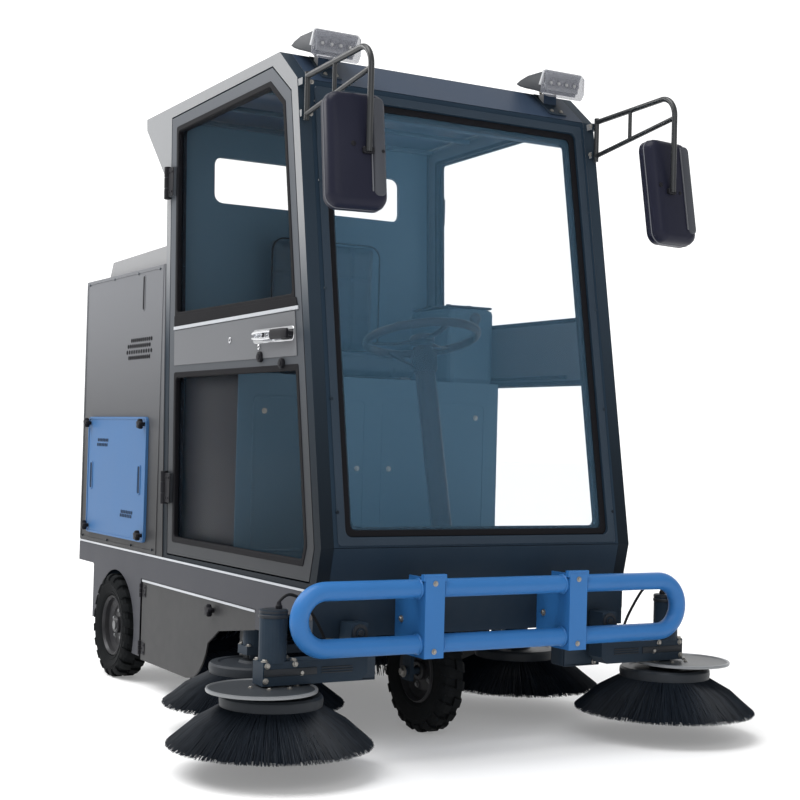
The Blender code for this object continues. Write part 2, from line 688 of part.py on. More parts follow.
def build_mid_brushes():
    hub_x, hub_y = MID_BRUSH
    head_top = 0.2180
    for label, side in SIDES:
        brush = turned("mid_brush_" + label, brush_profile(MID_TIP_Z, head_top),
                       (side * hub_x, hub_y, 0), "Z", BRISTLE, 28)
        arm = brush_arm("mid_brush_arm_" + label, side, MID_BRUSH, MID_ARM_PIVOT,
                        (0.2355, 0.262), (-0.410, -0.342), (0.038, 0.372), DARK_PAINT)
        pivot("mid_brush_" + label, (side * hub_x, hub_y, head_top), brush)
        mid_x, mid_z = MID_ARM_PIVOT
        pivot("mid_brush_arm_" + label, (side * mid_x, hub_y, mid_z), arm)


def build_main_roller():
    """Cylindrical brush across the machine, bored at each end for its pins."""
    half = 0.4395
    bore = 0.0155
    radius = 0.135
    profile = [(bore, half), (radius, half), (radius, -half), (bore, -half)]
    centre = (0, 0.26, 0.16)
    roller = turned("main_roller", profile, centre, "X", BRISTLE, 24, True)
    pivot("main_roller", centre, roller)


# ---------------------------------------------------------------- mirrors and lamps
def build_mirrors():
    upright = 0.0085
    bend = 0.060
    top = 1.952
    for label, side in SIDES:
        x = side * MIRROR_X
        turn = arc((MIRROR_TUBE_Y + bend, top - bend), bend, 90, 180, 6)
        main = [(x, MIRROR_POST_Y, 1.938)] + [(x, y, z) for y, z in turn]
        main.append((x, MIRROR_TUBE_Y, MIRROR_CENTRE_Z - 0.010))
        arm = tube("mirror_arm_" + label, main, upright, BLACK_PLASTIC)
        join(arm, tube("brace", [(x, MIRROR_POST_Y, 1.828), (x, MIRROR_TUBE_Y, 1.886)], 0.0075))
        join(arm, rod("post", (x, MIRROR_POST_Y, 1.810), (x, MIRROR_POST_Y, 1.950), 0.0080, sides=16))
        join(arm, rod("strut", (x, -0.878, 1.852), (x, -0.878, 1.944), 0.0060, sides=12))
        shell = build_mirror_housing(label, side)
        pivot("mirror_housing_" + label, (x, MIRROR_TUBE_Y, MIRROR_CENTRE_Z), shell)
        pivot("mirror_arm_" + label, (x, MIRROR_POST_Y, 1.88), arm)


def build_mirror_housing(label, side):
    """Shell behind the tube: turned inwards and leaning back at the top."""
    ahead = Vector((side * sin(MIRROR_YAW), -cos(MIRROR_YAW), 0))
    across = Vector((cos(MIRROR_YAW), side * sin(MIRROR_YAW), 0))
    rise = Vector((0, 0, cos(MIRROR_TILT))) - ahead * sin(MIRROR_TILT)
    clear = 0.0105
    face = (Vector((side * MIRROR_X, MIRROR_TUBE_Y, MIRROR_CENTRE_Z)) - ahead * clear
            + across * side * MIRROR_OFFSET)
    front = face.dot(across.cross(rise))
    u, v = face.dot(across), face.dot(rise)
    outline = rectangle(u - MIRROR_HALF_WIDTH, v - MIRROR_HALF_HEIGHT,
                        u + MIRROR_HALF_WIDTH, v + MIRROR_HALF_HEIGHT)
    shell = mesh_from(flat("mirror_housing_" + label, [rounded(outline, 0.030)], front - MIRROR_DEPTH,
                           front, (tuple(across), tuple(rise)), MIRROR_SHELL))
    edges = shell.modifiers.new("edges", "BEVEL")
    edges.width = 0.014
    edges.segments = 2
    edges.angle_limit = radians(50)
    return shell


def build_lamps():
    profile = [(-0.500, 2.070), (-0.560, 2.052), (-0.625, 2.031), (-0.675, 2.010),
               (-0.692, 2.030), (-0.690, 2.080), (-0.600, 2.092)]
    for label, side in SIDES:
        lamp = flat("work_lamp_" + label, [profile], side * LAMP_X - 0.070, side * LAMP_X + 0.070,
                    SIDE_VIEW, LAMP_CLEAR)
        pivot("work_lamp_" + label, (side * LAMP_X, -0.586, LAMP_PIVOT_Z), lamp)


# ---------------------------------------------------------------- inside the cab
def build_seat():
    half = CAB_INNER - 0.002
    base_z = DECK_TOP + GAP
    base = block("seat_base", (-half, -0.215, base_z), (half, 0.238, SEAT_TOP), GREY_PAINT)
    cut(base, block("base_hollow", (-half + 0.012, -0.203, 0.40), (half - 0.012, 0.226, SEAT_TOP - 0.012)))
    join(base, block("side_console", (0.300, -0.200, SEAT_TOP - 0.005), (0.480, 0.080, 1.360), None, 0.020))
    cushion = block("seat_cushion", (-0.230, -0.170, SEAT_TOP + 0.010), (0.230, 0.150, 1.190),
                    SEAT_COVER, 0.025)
    runner = block("seat_runner", (-0.180, -0.150, SEAT_TOP + GAP), (0.180, 0.140, SEAT_TOP + 0.020))
    join(cushion, runner)
    back = block("seat_backrest", (-0.220, 0.155, 1.192), (0.220, 0.232, 1.610), SEAT_COVER, 0.025)
    pivot("seat", (0, 0, SEAT_TOP + 0.010), cushion)
    pivot("seat_backrest", (0, 0.190, 1.200), back)


def build_steering():
    foot = Vector((0, -0.700, DECK_TOP + GAP))
    top = Vector((0, -0.520, 1.190))
    up = (top - foot).normalized()
    column = rod("steering_column", foot + up * 0.011, top, 0.032, BLACK_PLASTIC)
    join(column, block("column_foot", (-0.060, -0.760, foot.z), (0.060, -0.640, foot.z + 0.020)))
    rim_radius = 0.175
    hub = top + up * 0.030
    bpy.ops.mesh.primitive_torus_add(major_radius=rim_radius, minor_radius=0.014,
                                     major_segments=28, minor_segments=8)
    wheel = bpy.context.object
    wheel.name = "steering_wheel"
    wheel.location = hub
    wheel.rotation_euler = up.to_track_quat("Z", "Y").to_euler()
    smooth(place(wheel, BLACK_PLASTIC))
    join(wheel, rod("wheel_hub", top + up * GAP, hub + up * 0.014, 0.040))
    across = up.cross(Vector((1, 0, 0)))
    for angle in (0, 120, 240):
        way = Vector((1, 0, 0)) * cos(radians(angle + 90)) + across * sin(radians(angle + 90))
        join(wheel, rod("spoke", hub + way * 0.030, hub + way * (rim_radius - 0.004), 0.009, sides=12))
    pivot("steering_wheel", hub, wheel)

    pedal = flat("drive_pedal", [[(-0.585, 0.482), (-0.700, 0.540), (-0.703, 0.534), (-0.590, 0.4765)]],
                 -0.190, -0.110, SIDE_VIEW, BLACK_PLASTIC)
    pivot("drive_pedal", (-0.150, -0.5875, 0.4795), pedal)


# ---------------------------------------------------------------- build
build_chassis()
build_side_frames()
build_roof()
build_windscreen()
build_rear_wall()
build_rear_body()
build_side_panels()
build_apron_hatches()
build_doors()
build_bumper()
build_wheels()
build_front_wheel()
build_front_brushes()
build_mid_brushes()
build_main_roller()
build_mirrors()
build_lamps()
build_seat()
build_steering()
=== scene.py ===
"""Look of the ride-on sweeper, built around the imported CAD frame.

Metres, +Z up.  The machine faces -Y and its left-hand side is +X, as in the CAD model.
"""
import random
from math import cos, hypot, pi, radians, sin

import bmesh
import bpy
from mathutils import Matrix, Vector


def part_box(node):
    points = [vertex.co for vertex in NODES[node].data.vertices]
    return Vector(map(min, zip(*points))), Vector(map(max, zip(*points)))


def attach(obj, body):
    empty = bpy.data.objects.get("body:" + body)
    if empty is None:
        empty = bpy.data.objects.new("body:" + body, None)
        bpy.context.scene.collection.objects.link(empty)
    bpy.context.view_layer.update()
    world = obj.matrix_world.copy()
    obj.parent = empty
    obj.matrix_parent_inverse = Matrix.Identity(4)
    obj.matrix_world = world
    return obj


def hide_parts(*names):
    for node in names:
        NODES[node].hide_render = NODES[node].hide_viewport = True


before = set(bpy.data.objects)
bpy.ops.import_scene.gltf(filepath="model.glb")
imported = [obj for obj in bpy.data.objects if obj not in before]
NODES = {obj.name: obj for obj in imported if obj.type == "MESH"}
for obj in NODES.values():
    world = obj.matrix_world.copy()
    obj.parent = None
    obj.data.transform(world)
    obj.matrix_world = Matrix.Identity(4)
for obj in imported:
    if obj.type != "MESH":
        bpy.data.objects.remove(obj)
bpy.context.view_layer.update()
SIDES = (("left", 1), ("right", -1))
UP = Vector((0, 0, 1))
BODY_SKIN = 0.5372                                   # outer face of the body and the apron hatches


# ---------------------------------------------------------------- materials
GLOSS_SPREAD = 0.06


def new_material(name):
    material = bpy.data.materials.new(name)
    material.use_nodes = True
    tree = material.node_tree
    return material, tree, tree.nodes["Principled BSDF"]


def painted(name, colour, roughness=0.4, metallic=0.0, shade=0.12, grain=0.0004,
            grain_scale=420.0, dust=0.0, specular=0.16, low=1.0, high=1.0, flank=None):
    """Paint, plastic or metal: slow colour drift, fine grain, uneven gloss, dust low down.

    The colour is multiplied by `low` at deck height and by `high` at the top of the body: painted shade low
    down, painted light up high.
    `flank` is a paler colour on the faces turned to the machine's sides, above the door sills: part second
    paint colour, part painted light on the lit upper sides.
    """
    material, tree, shader = new_material(name)
    nodes, links = tree.nodes, tree.links
    where = nodes.new("ShaderNodeTexCoord")
    slow = nodes.new("ShaderNodeTexNoise")
    slow.inputs["Scale"].default_value = 5.0
    slow.inputs["Detail"].default_value = 4.0
    links.new(where.outputs["Object"], slow.inputs["Vector"])
    ramp = nodes.new("ShaderNodeMix")
    ramp.data_type = "RGBA"
    ramp.inputs["A"].default_value = (*[c * (1 - shade) for c in colour], 1)
    ramp.inputs["B"].default_value = (*[min(1, c * (1 + shade)) for c in colour], 1)
    links.new(slow.outputs["Fac"], ramp.inputs["Factor"])
    result = ramp.outputs["Result"]
    height = nodes.new("ShaderNodeSeparateXYZ")
    links.new(where.outputs["Object"], height.inputs["Vector"])
    # height ramp of the colour: painted shade towards the deck, painted light towards the top
    if low != high:
        painted_light_ramp = nodes.new("ShaderNodeMapRange")
        painted_light_ramp.interpolation_type = "SMOOTHSTEP"
        painted_light_ramp.inputs["From Min"].default_value = 0.55
        painted_light_ramp.inputs["From Max"].default_value = 1.55
        painted_light_ramp.inputs["To Min"].default_value = low
        painted_light_ramp.inputs["To Max"].default_value = high
        links.new(height.outputs["Z"], painted_light_ramp.inputs["Value"])
        painted_light_scaled = nodes.new("ShaderNodeVectorMath")
        painted_light_scaled.operation = "SCALE"
        links.new(result, painted_light_scaled.inputs[0])
        links.new(painted_light_ramp.outputs["Result"], painted_light_scaled.inputs["Scale"])
        result = painted_light_scaled.outputs["Vector"]
    # painted light: sideways faces turn paler, more so higher up
    if flank:
        result = flank_paint_and_light(nodes, links, height.outputs["Z"], result, flank)
    if dust:
        fade = nodes.new("ShaderNodeMapRange")
        fade.inputs["From Min"].default_value = 0.75
        fade.inputs["From Max"].default_value = 0.0
        fade.inputs["To Max"].default_value = dust
        links.new(height.outputs["Z"], fade.inputs["Value"])
        patch = nodes.new("ShaderNodeTexNoise")
        patch.inputs["Scale"].default_value = 22.0
        patch.inputs["Detail"].default_value = 6.0
        links.new(where.outputs["Object"], patch.inputs["Vector"])
        amount = nodes.new("ShaderNodeMath")
        amount.operation = "MULTIPLY"
        links.new(fade.outputs["Result"], amount.inputs[0])
        links.new(patch.outputs["Fac"], amount.inputs[1])
        dusty = nodes.new("ShaderNodeMix")
        dusty.data_type = "RGBA"
        dusty.inputs["B"].default_value = (0.16, 0.15, 0.14, 1)
        links.new(result, dusty.inputs["A"])
        links.new(amount.outputs["Value"], dusty.inputs["Factor"])
        result = dusty.outputs["Result"]
    links.new(result, shader.inputs["Base Color"])
    fine = nodes.new("ShaderNodeTexNoise")
    fine.inputs["Scale"].default_value = grain_scale
    fine.inputs["Detail"].default_value = 2.0
    links.new(where.outputs["Object"], fine.inputs["Vector"])
    gloss = nodes.new("ShaderNodeMapRange")
    gloss.inputs["To Min"].default_value = max(0.02, roughness - GLOSS_SPREAD)
    gloss.inputs["To Max"].default_value = roughness + GLOSS_SPREAD
    links.new(slow.outputs["Fac"], gloss.inputs["Value"])
    links.new(gloss.outputs["Result"], shader.inputs["Roughness"])
    if grain:
        bump = nodes.new("ShaderNodeBump")
        bump.inputs["Strength"].default_value = 0.35
        bump.inputs["Distance"].default_value = grain
        links.new(fine.outputs["Fac"], bump.inputs["Height"])
        links.new(bump.outputs["Normal"], shader.inputs["Normal"])
    shader.inputs["Metallic"].default_value = metallic
    shader.inputs["Specular IOR Level"].default_value = specular
    return material


def flank_paint_and_light(nodes, links, height, colour, flank):
    """Paler colour on faces that look sideways, growing with height: part second paint colour, part painted
    light on the lit upper sides.
    """
    shape = nodes.new("ShaderNodeNewGeometry")
    turned = nodes.new("ShaderNodeSeparateXYZ")
    links.new(shape.outputs["Normal"], turned.inputs["Vector"])
    sideways = nodes.new("ShaderNodeMath")
    sideways.operation = "ABSOLUTE"
    links.new(turned.outputs["X"], sideways.inputs[0])
    share = nodes.new("ShaderNodeMapRange")
    share.inputs["From Min"].default_value = 0.75
    share.inputs["From Max"].default_value = 0.95
    links.new(sideways.outputs["Value"], share.inputs["Value"])
    rise = nodes.new("ShaderNodeMapRange")
    rise.interpolation_type = "SMOOTHSTEP"
    rise.inputs["From Min"].default_value = 1.15
    rise.inputs["From Max"].default_value = 1.62
    links.new(height, rise.inputs["Value"])
    both = nodes.new("ShaderNodeMath")
    both.operation = "MULTIPLY"
    links.new(share.outputs["Result"], both.inputs[0])
    links.new(rise.outputs["Result"], both.inputs[1])
    pale = nodes.new("ShaderNodeMix")
    pale.data_type = "RGBA"
    pale.inputs["B"].default_value = (*flank, 1)
    links.new(colour, pale.inputs["A"])
    links.new(both.outputs["Value"], pale.inputs["Factor"])
    return pale.outputs["Result"]


def glass(name, colour, alpha):
    """Tinted glass: a dark see-through film with clean reflections."""
    material, tree, shader = new_material(name)
    nodes, links = tree.nodes, tree.links
    where = nodes.new("ShaderNodeTexCoord")
    film = nodes.new("ShaderNodeTexNoise")
    film.inputs["Scale"].default_value = 3.0
    links.new(where.outputs["Object"], film.inputs["Vector"])
    gloss = nodes.new("ShaderNodeMapRange")
    gloss.inputs["To Min"].default_value = 0.03
    gloss.inputs["To Max"].default_value = 0.09
    links.new(film.outputs["Fac"], gloss.inputs["Value"])
    links.new(gloss.outputs["Result"], shader.inputs["Roughness"])
    shader.inputs["Base Color"].default_value = (*colour, 1)
    shader.inputs["Alpha"].default_value = alpha
    shader.inputs["Specular IOR Level"].default_value = 0.35
    return material


def bristle_look(name, dark, pale):
    """Nylon strands: each strand has its own shade, with a dull gloss."""
    material, tree, shader = new_material(name)
    nodes, links = tree.nodes, tree.links
    strand_info = nodes.new("ShaderNodeNewGeometry")
    ramp = nodes.new("ShaderNodeMix")
    ramp.data_type = "RGBA"
    ramp.inputs["A"].default_value = (*dark, 1)
    ramp.inputs["B"].default_value = (*pale, 1)
    links.new(strand_info.outputs["Random Per Island"], ramp.inputs["Factor"])
    links.new(ramp.outputs["Result"], shader.inputs["Base Color"])
    shader.inputs["Roughness"].default_value = 0.45
    shader.inputs["Specular IOR Level"].default_value = 0.18
    return material


MAT = {
    "dark": painted("dark_paint", (0.016, 0.030, 0.048), 0.44, dust=0.15, specular=0.08),
    "dark_edge": painted("dark_edge", (0.026, 0.040, 0.058), 0.40, specular=0.15),
    # roof: dark front paint; its sideways faces turn pale grey high up, part two-tone paint, part painted
    # light
    "roof": painted("roof_paint", (0.034, 0.053, 0.088), 0.42, specular=0.12,
                    flank=(0.290, 0.292, 0.298)),
    # grey: darker towards the deck and lighter at the top, painted shade and painted light
    "grey": painted("grey_paint", (0.155, 0.160, 0.172), 0.46, dust=0.2, shade=0.08, low=0.19,
                    high=1.04),
    "skirt": painted("skirt_paint", (0.050, 0.052, 0.062), 0.46, shade=0.06, dust=0.1, specular=0.10),
    # cover: a paler copy of the body grey, painted light on the lit top of the body
    "cover": painted("cover_grey_painted_light", (0.290, 0.292, 0.300), 0.46, shade=0.05),
    # door: darkened towards the bottom, painted shade
    "door": painted("door_paint", (0.090, 0.100, 0.115), 0.44, shade=0.07, low=0.30, high=0.9),
    # silver: a near-black frame paint, lightened strongly towards the top and on its sideways faces: painted
    # light
    "silver": painted("silver_paint", (0.010, 0.015, 0.021), 0.42, shade=0.06, specular=0.06,
                      low=0.9, high=2.6, flank=(0.290, 0.296, 0.305)),
    # pale strips along top edges: painted highlights
    "bright": painted("painted_highlight_edge", (0.52, 0.54, 0.57), 0.35, metallic=0.3, shade=0.06),
    "blue": painted("blue_paint", (0.030, 0.150, 0.400), 0.34, shade=0.08, specular=0.25),
    "panel": painted("panel_paint", (0.048, 0.132, 0.290), 0.42, shade=0.07),
    "black": painted("black_plastic", (0.010, 0.010, 0.013), 0.48, grain=0.0006, specular=0.15),
    "shell": painted("mirror_shell", (0.014, 0.015, 0.028), 0.36, shade=0.1, specular=0.12),
    # paler copy of the mirror shell plastic for its flank: painted light
    "shell_back": painted("mirror_shell_painted_light", (0.060, 0.064, 0.075), 0.45),
    "rubber": painted("tyre_rubber", (0.005, 0.006, 0.007), 0.72, grain=0.0010, grain_scale=350,
                      dust=0.04, specular=0.06),
    "rim": painted("rim_paint", (0.022, 0.023, 0.027), 0.36, metallic=0.3, dust=0.2, specular=0.2),
    "head": painted("brush_head", (0.022, 0.027, 0.034), 0.45, dust=0.10, grain=0.0008),
    "core": painted("bristle_core", (0.004, 0.006, 0.010), 0.80, specular=0.03),
    "bristle": bristle_look("bristle", (0.003, 0.005, 0.009), (0.016, 0.022, 0.031)),
    "seal": painted("seal_rubber", (0.007, 0.007, 0.009), 0.65, specular=0.10),
    "lead": painted("cable_rubber", (0.010, 0.010, 0.011), 0.60, specular=0.15),
    "steel": painted("bare_steel", (0.16, 0.165, 0.17), 0.40, metallic=0.6, shade=0.15, dust=0.2),
    "guard": painted("guard_plate", (0.045, 0.050, 0.056), 0.38, metallic=0.2, shade=0.12),
    "chrome": painted("chrome", (0.70, 0.71, 0.73), 0.16, metallic=1.0, shade=0.03, grain=0.0),
    "zinc": painted("zinc_bolt", (0.30, 0.29, 0.27), 0.38, metallic=0.8, shade=0.2),
    "lamp_body": painted("lamp_body", (0.055, 0.060, 0.068), 0.38),
    "lamp_tray": painted("lamp_tray", (0.30, 0.31, 0.33), 0.25, metallic=0.6),
    "white_band": painted("white_band", (0.62, 0.63, 0.65), 0.35, shade=0.04),
    "led": painted("led_chip", (0.85, 0.85, 0.80), 0.20, shade=0.05),
    "clear": glass("clear_lens", (0.25, 0.26, 0.30), 0.45),
    "seat": painted("seat_vinyl", (0.030, 0.052, 0.074), 0.52, grain=0.0012, grain_scale=260),
    "glass": glass("tinted_glass", (0.020, 0.050, 0.085), 0.04),
    "screen": glass("screen_glass", (0.150, 0.330, 0.510), 0.10),
    "arm": painted("arm_paint", (0.020, 0.022, 0.024), 0.34, specular=0.5),
    "shell_edge": painted("shell_edge", (0.130, 0.135, 0.150), 0.40),
    "lamp_cup": painted("lamp_cup", (0.22, 0.22, 0.24), 0.25, metallic=0.5),
    "guard_rim": painted("guard_rim", (0.24, 0.25, 0.26), 0.35, metallic=0.4),
    "mat": painted("floor_mat", (0.014, 0.020, 0.026), 0.75, specular=0.05),
    "motor": painted("motor_paint", (0.022, 0.026, 0.032), 0.40, dust=0.1),
    "inside": painted("inside_paint", (0.055, 0.105, 0.150), 0.60, shade=0.05, grain=0.0),
    "lining": painted("roof_lining", (0.030, 0.052, 0.074), 0.70, grain=0.0),
    "rail": painted("door_rail_paint", (0.135, 0.140, 0.150), 0.40, shade=0.07),
    # dark slabs for vent slots and louvres: painted shade in the openings
    "slot_blue": painted("slot_shadow", (0.006, 0.020, 0.050), 0.60),
    "mirror": painted("mirror_glass", (0.60, 0.63, 0.66), 0.05, metallic=1.0, shade=0.02, grain=0.0),
}

NODE_LOOK = (
    (("chassis_frame", "windscreen_frame", "front_chin_panel", "steering_fork", "front_brush_arm",
      "mid_brush_arm"), "dark"),
    (("rear_body", "apron_hatch"), "grey"),
    (("rear_cover",), "cover"),
    (("door_frame",), "door"),
    (("roof_panel",), "roof"),
    (("cab_rear_wall", "seat_base"), "inside"),
    (("cab_side_frame",), "silver"),
    (("bumper_loop", "bumper_post"), "blue"),
    (("side_panel", "rear_hatch"), "panel"),
    (("rear_window_glass", "door_glass"), "glass"),
    (("windscreen_glass",), "screen"),
    (("door_handle", "mirror_arm", "steering_column", "steering_wheel", "drive_pedal",
      "rear_rim", "front_rim"), "black"),
    (("mirror_housing",), "shell"),
    (("rear_tyre", "front_tyre", "front_brush", "mid_brush", "main_roller"), "rubber"),
    (("motor_lead",), "lead"),
    (("rear_axle",), "steel"),
    (("brush_guard",), "guard"),
    (("work_lamp",), "lamp_body"),
    (("seat_cushion", "seat_backrest"), "seat"),
)
for name, node in NODES.items():
    looks = [(len(start), look) for starts, look in NODE_LOOK for start in starts
             if name.startswith(start)]
    node.data.materials.clear()
    node.data.materials.append(MAT[max(looks)[1]])


# ---------------------------------------------------------------- camera, light and floor
def make_camera():
    """Camera low in front of the machine's right-hand side, as a photographer would stand."""
    place = Vector((-2.3899, -4.5353, 0.9021))
    yaw, pitch, roll = radians(29.94), radians(1.366), radians(1.485)
    ahead = Vector((sin(yaw) * cos(pitch), cos(yaw) * cos(pitch), sin(pitch)))
    right = Vector((cos(yaw), -sin(yaw), 0))
    up = right.cross(ahead)
    tilted_right = right * cos(roll) + up * sin(roll)
    tilted_up = up * cos(roll) - right * sin(roll)
    data = bpy.data.cameras.new("camera")
    data.sensor_width = 36
    data.lens = 66.85
    data.shift_y = 0.004
    camera = bpy.data.objects.new("camera", data)
    turn = Matrix((tilted_right, tilted_up, -ahead)).transposed()
    camera.matrix_world = Matrix.Translation(place) @ turn.to_4x4()
    bpy.context.scene.collection.objects.link(camera)
    bpy.context.scene.camera = camera


def area_light(name, place, target, size, power):
    data = bpy.data.lights.new(name, "AREA")
    data.shape = "RECTANGLE"
    data.size, data.size_y = size
    data.energy = power
    light = bpy.data.objects.new(name, data)
    light.location = place
    light.rotation_euler = (Vector(target) - Vector(place)).to_track_quat("-Z", "Y").to_euler()
    bpy.context.scene.collection.objects.link(light)


def make_world():
    """Sky that is white behind the machine, as seen by the camera, and softer grey elsewhere."""
    world = bpy.data.worlds.new("studio")
    world.use_nodes = True
    nodes, links = world.node_tree.nodes, world.node_tree.links
    background = nodes["Background"]
    background.inputs["Color"].default_value = (1.0, 1.0, 1.0, 1)
    where = nodes.new("ShaderNodeTexCoord")
    toward = nodes.new("ShaderNodeVectorMath")
    toward.operation = "DOT_PRODUCT"
    toward.inputs[1].default_value = (0.50, 0.866, 0.0)
    links.new(where.outputs["Generated"], toward.inputs[0])
    sweep = nodes.new("ShaderNodeMapRange")
    sweep.interpolation_type = "SMOOTHSTEP"
    sweep.inputs["From Min"].default_value = 0.45
    sweep.inputs["From Max"].default_value = 0.85
    sweep.inputs["To Min"].default_value = 0.55
    sweep.inputs["To Max"].default_value = 1.32
    links.new(toward.outputs["Value"], sweep.inputs["Value"])
    links.new(sweep.outputs["Result"], background.inputs["Strength"])
    bpy.context.scene.world = world


def make_studio():
    bpy.context.scene.view_settings.view_transform = "Standard"
    make_world()
    sun = bpy.data.lights.new("overhead", "SUN")
    sun.energy = 2.4
    sun.angle = radians(50)
    lamp = bpy.data.objects.new("overhead", sun)
    lamp.rotation_euler = Vector((0.45, -0.10, -1.0)).to_track_quat("-Z", "Y").to_euler()
    bpy.context.scene.collection.objects.link(lamp)
    area_light("rear_rim", (-2.6, 2.2, 3.2), (-0.54, 0.7, 1.3), (1.6, 1.6), 45)
    area_light("front_soft", (-1.5, -4.5, 3.0), (0, -0.5, 1.0), (2.5, 1.5), 22)
    work = bmesh.new()
    bmesh.ops.create_circle(work, cap_ends=True, segments=96, radius=60)
    mesh = bpy.data.meshes.new("floor")
    work.to_mesh(mesh)
    work.free()
    floor = bpy.data.objects.new("floor", mesh)
    bpy.context.scene.collection.objects.link(floor)
    paint = painted("floor_paint", (0.80, 0.80, 0.80), 0.8, shade=0.01, grain=0.0, specular=0.0)
    paint.node_tree.nodes["Principled BSDF"].inputs["Emission Color"].default_value = (1, 1, 1, 1)
    paint.node_tree.nodes["Principled BSDF"].inputs["Emission Strength"].default_value = 0.22
    floor.data.materials.append(paint)


# ---------------------------------------------------------------- shaping tools
def ring_piece(work, matrix, profile, steps=48, closed=False):
    """Turn a (radius, height) profile about the matrix's Z axis into a bmesh."""
    rings = []
    for radius, height in profile:
        if radius < 1e-6:
            rings.append([work.verts.new(matrix @ Vector((0, 0, height)))])
            continue
        rings.append([work.verts.new(matrix @ Vector((radius * cos(2 * pi * k / steps),
                                                      radius * sin(2 * pi * k / steps), height)))
                      for k in range(steps)])
    pairs = list(zip(rings, rings[1:]))
    if closed:
        pairs.append((rings[-1], rings[0]))
    for low, high in pairs:
        for k in range(steps):
            after = (k + 1) % steps
            if len(low) == 1 and len(high) == 1:
                continue
            if len(low) == 1:
                work.faces.new((low[0], high[after], high[k]))
            elif len(high) == 1:
                work.faces.new((low[k], low[after], high[0]))
            else:
                work.faces.new((low[k], low[after], high[after], high[k]))
    if not closed:
        for ring in (rings[0], rings[-1]):
            if len(ring) > 2:
                work.faces.new(ring)


def loft(work, loops):
    """Solid between matching closed loops of points, capped at both ends."""
    rings = [[work.verts.new(point) for point in loop] for loop in loops]
    count = len(rings[0])
    for low, high in zip(rings, rings[1:]):
        for k in range(count):
            after = (k + 1) % count
            work.faces.new((low[k], low[after], high[after], high[k]))
    work.faces.new(rings[0][::-1])
    work.faces.new(rings[-1])


def inset(outline, amount):
    """Outline moved inwards by an amount, corners kept sharp."""
    total = sum(a[0] * b[1] - b[0] * a[1] for a, b in zip(outline, outline[1:] + outline[:1]))
    turn = -1 if total > 0 else 1
    result = []
    for i, here in enumerate(outline):
        normals = []
        for a, b in ((outline[i - 1], here), (here, outline[(i + 1) % len(outline)])):
            length = hypot(b[0] - a[0], b[1] - a[1])
            normals.append((turn * (b[1] - a[1]) / length, -turn * (b[0] - a[0]) / length))
        (ax, ay), (bx, by) = normals
        share = amount / max(0.2, 1 + ax * bx + ay * by)
        result.append((here[0] + share * (ax + bx), here[1] + share * (ay + by)))
    return result


def rounded(outline, radius, steps=5):
    """Outline whose corners are arcs of the given radius."""
    result = []
    for i, corner in enumerate(outline):
        corner = Vector(corner)
        back = (Vector(outline[i - 1]) - corner).normalized()
        ahead = (Vector(outline[(i + 1) % len(outline)]) - corner).normalized()
        half = back.angle(ahead) / 2
        reach = radius * cos(half) / max(0.05, sin(half))
        centre = corner + (back + ahead).normalized() * (radius / sin(half))
        start = corner + back * reach - centre
        sweep = (corner + ahead * reach - centre).angle_signed(start)
        for step in range(steps + 1):
            result.append(tuple(centre + Matrix.Rotation(sweep * step / steps, 2) @ start))
    return result


def rectangle(left, low, right, high):
    return [(left, low), (right, low), (right, high), (left, high)]


def slab(work, matrix, outline, height, bevel=0.001):
    """Flat plate with softened edges: outline in the matrix's XY plane, height along its Z."""
    loops = []
    for level, shrink in ((0, bevel), (bevel, 0), (height - bevel, 0), (height, bevel)):
        shape = inset(outline, shrink) if shrink else outline
        loops.append([matrix @ Vector((u, v, level)) for u, v in shape])
    loft(work, loops)


def frame_slab(work, matrix, outer, inner, height, bevel=0.001):
    """Ring-shaped plate between two outlines that have the same number of points."""
    levels = []
    for level, shrink in ((0, 0), (height - bevel, 0), (height, bevel)):
        out = inset(outer, shrink) if shrink else outer
        hole = inset(inner, -shrink) if shrink else inner
        levels.append([[work.verts.new(matrix @ Vector((u, v, level))) for u, v in loop]
                       for loop in (out, hole)])
    count = len(outer)
    for low, high in zip(levels, levels[1:]):
        for k in range(count):
            after = (k + 1) % count
            work.faces.new((low[0][k], low[0][after], high[0][after], high[0][k]))
            work.faces.new((low[1][after], low[1][k], high[1][k], high[1][after]))
    for rings, flip in ((levels[0], True), (levels[-1], False)):
        for k in range(count):
            after = (k + 1) % count
            face = (rings[0][k], rings[0][after], rings[1][after], rings[1][k])
            work.faces.new(face[::-1] if flip else face)


def box_piece(work, low, high, bevel=0.002):
    """Box between two corners with softened edges."""
    size = [b - a for a, b in zip(low, high)]
    middle = [(a + b) / 2 for a, b in zip(low, high)]
    made = bmesh.ops.create_cube(work, size=1, matrix=Matrix.Translation(middle)
                                 @ Matrix.Diagonal((*size, 1)))
    edges = {edge for vert in made["verts"] for edge in vert.link_edges}
    bmesh.ops.bevel(work, geom=list(edges), offset=bevel, segments=2, profile=0.5, affect="EDGES")


def side_box(work, side, across, low, high, bevel):
    """Box between two distances from the machine's middle plane and two (y, z) corners."""
    near, far = sorted(side * x for x in across)
    box_piece(work, (near, *low), (far, *high), bevel)


def smooth_line(points, per_span=6):
    """Catmull-Rom line through the points."""
    knots = [Vector(p) for p in points]
    knots = [knots[0] * 2 - knots[1]] + knots + [knots[-1] * 2 - knots[-2]]
    line = []
    for i in range(1, len(knots) - 2):
        before, start, end, after = knots[i - 1:i + 3]
        for step in range(per_span):
            t = step / per_span
            line.append(0.5 * (2 * start + (end - before) * t
                               + (2 * before - 5 * start + 4 * end - after) * t ** 2
                               + (3 * start - before - 3 * end + after) * t ** 3))
    line.append(knots[-2])
    return line


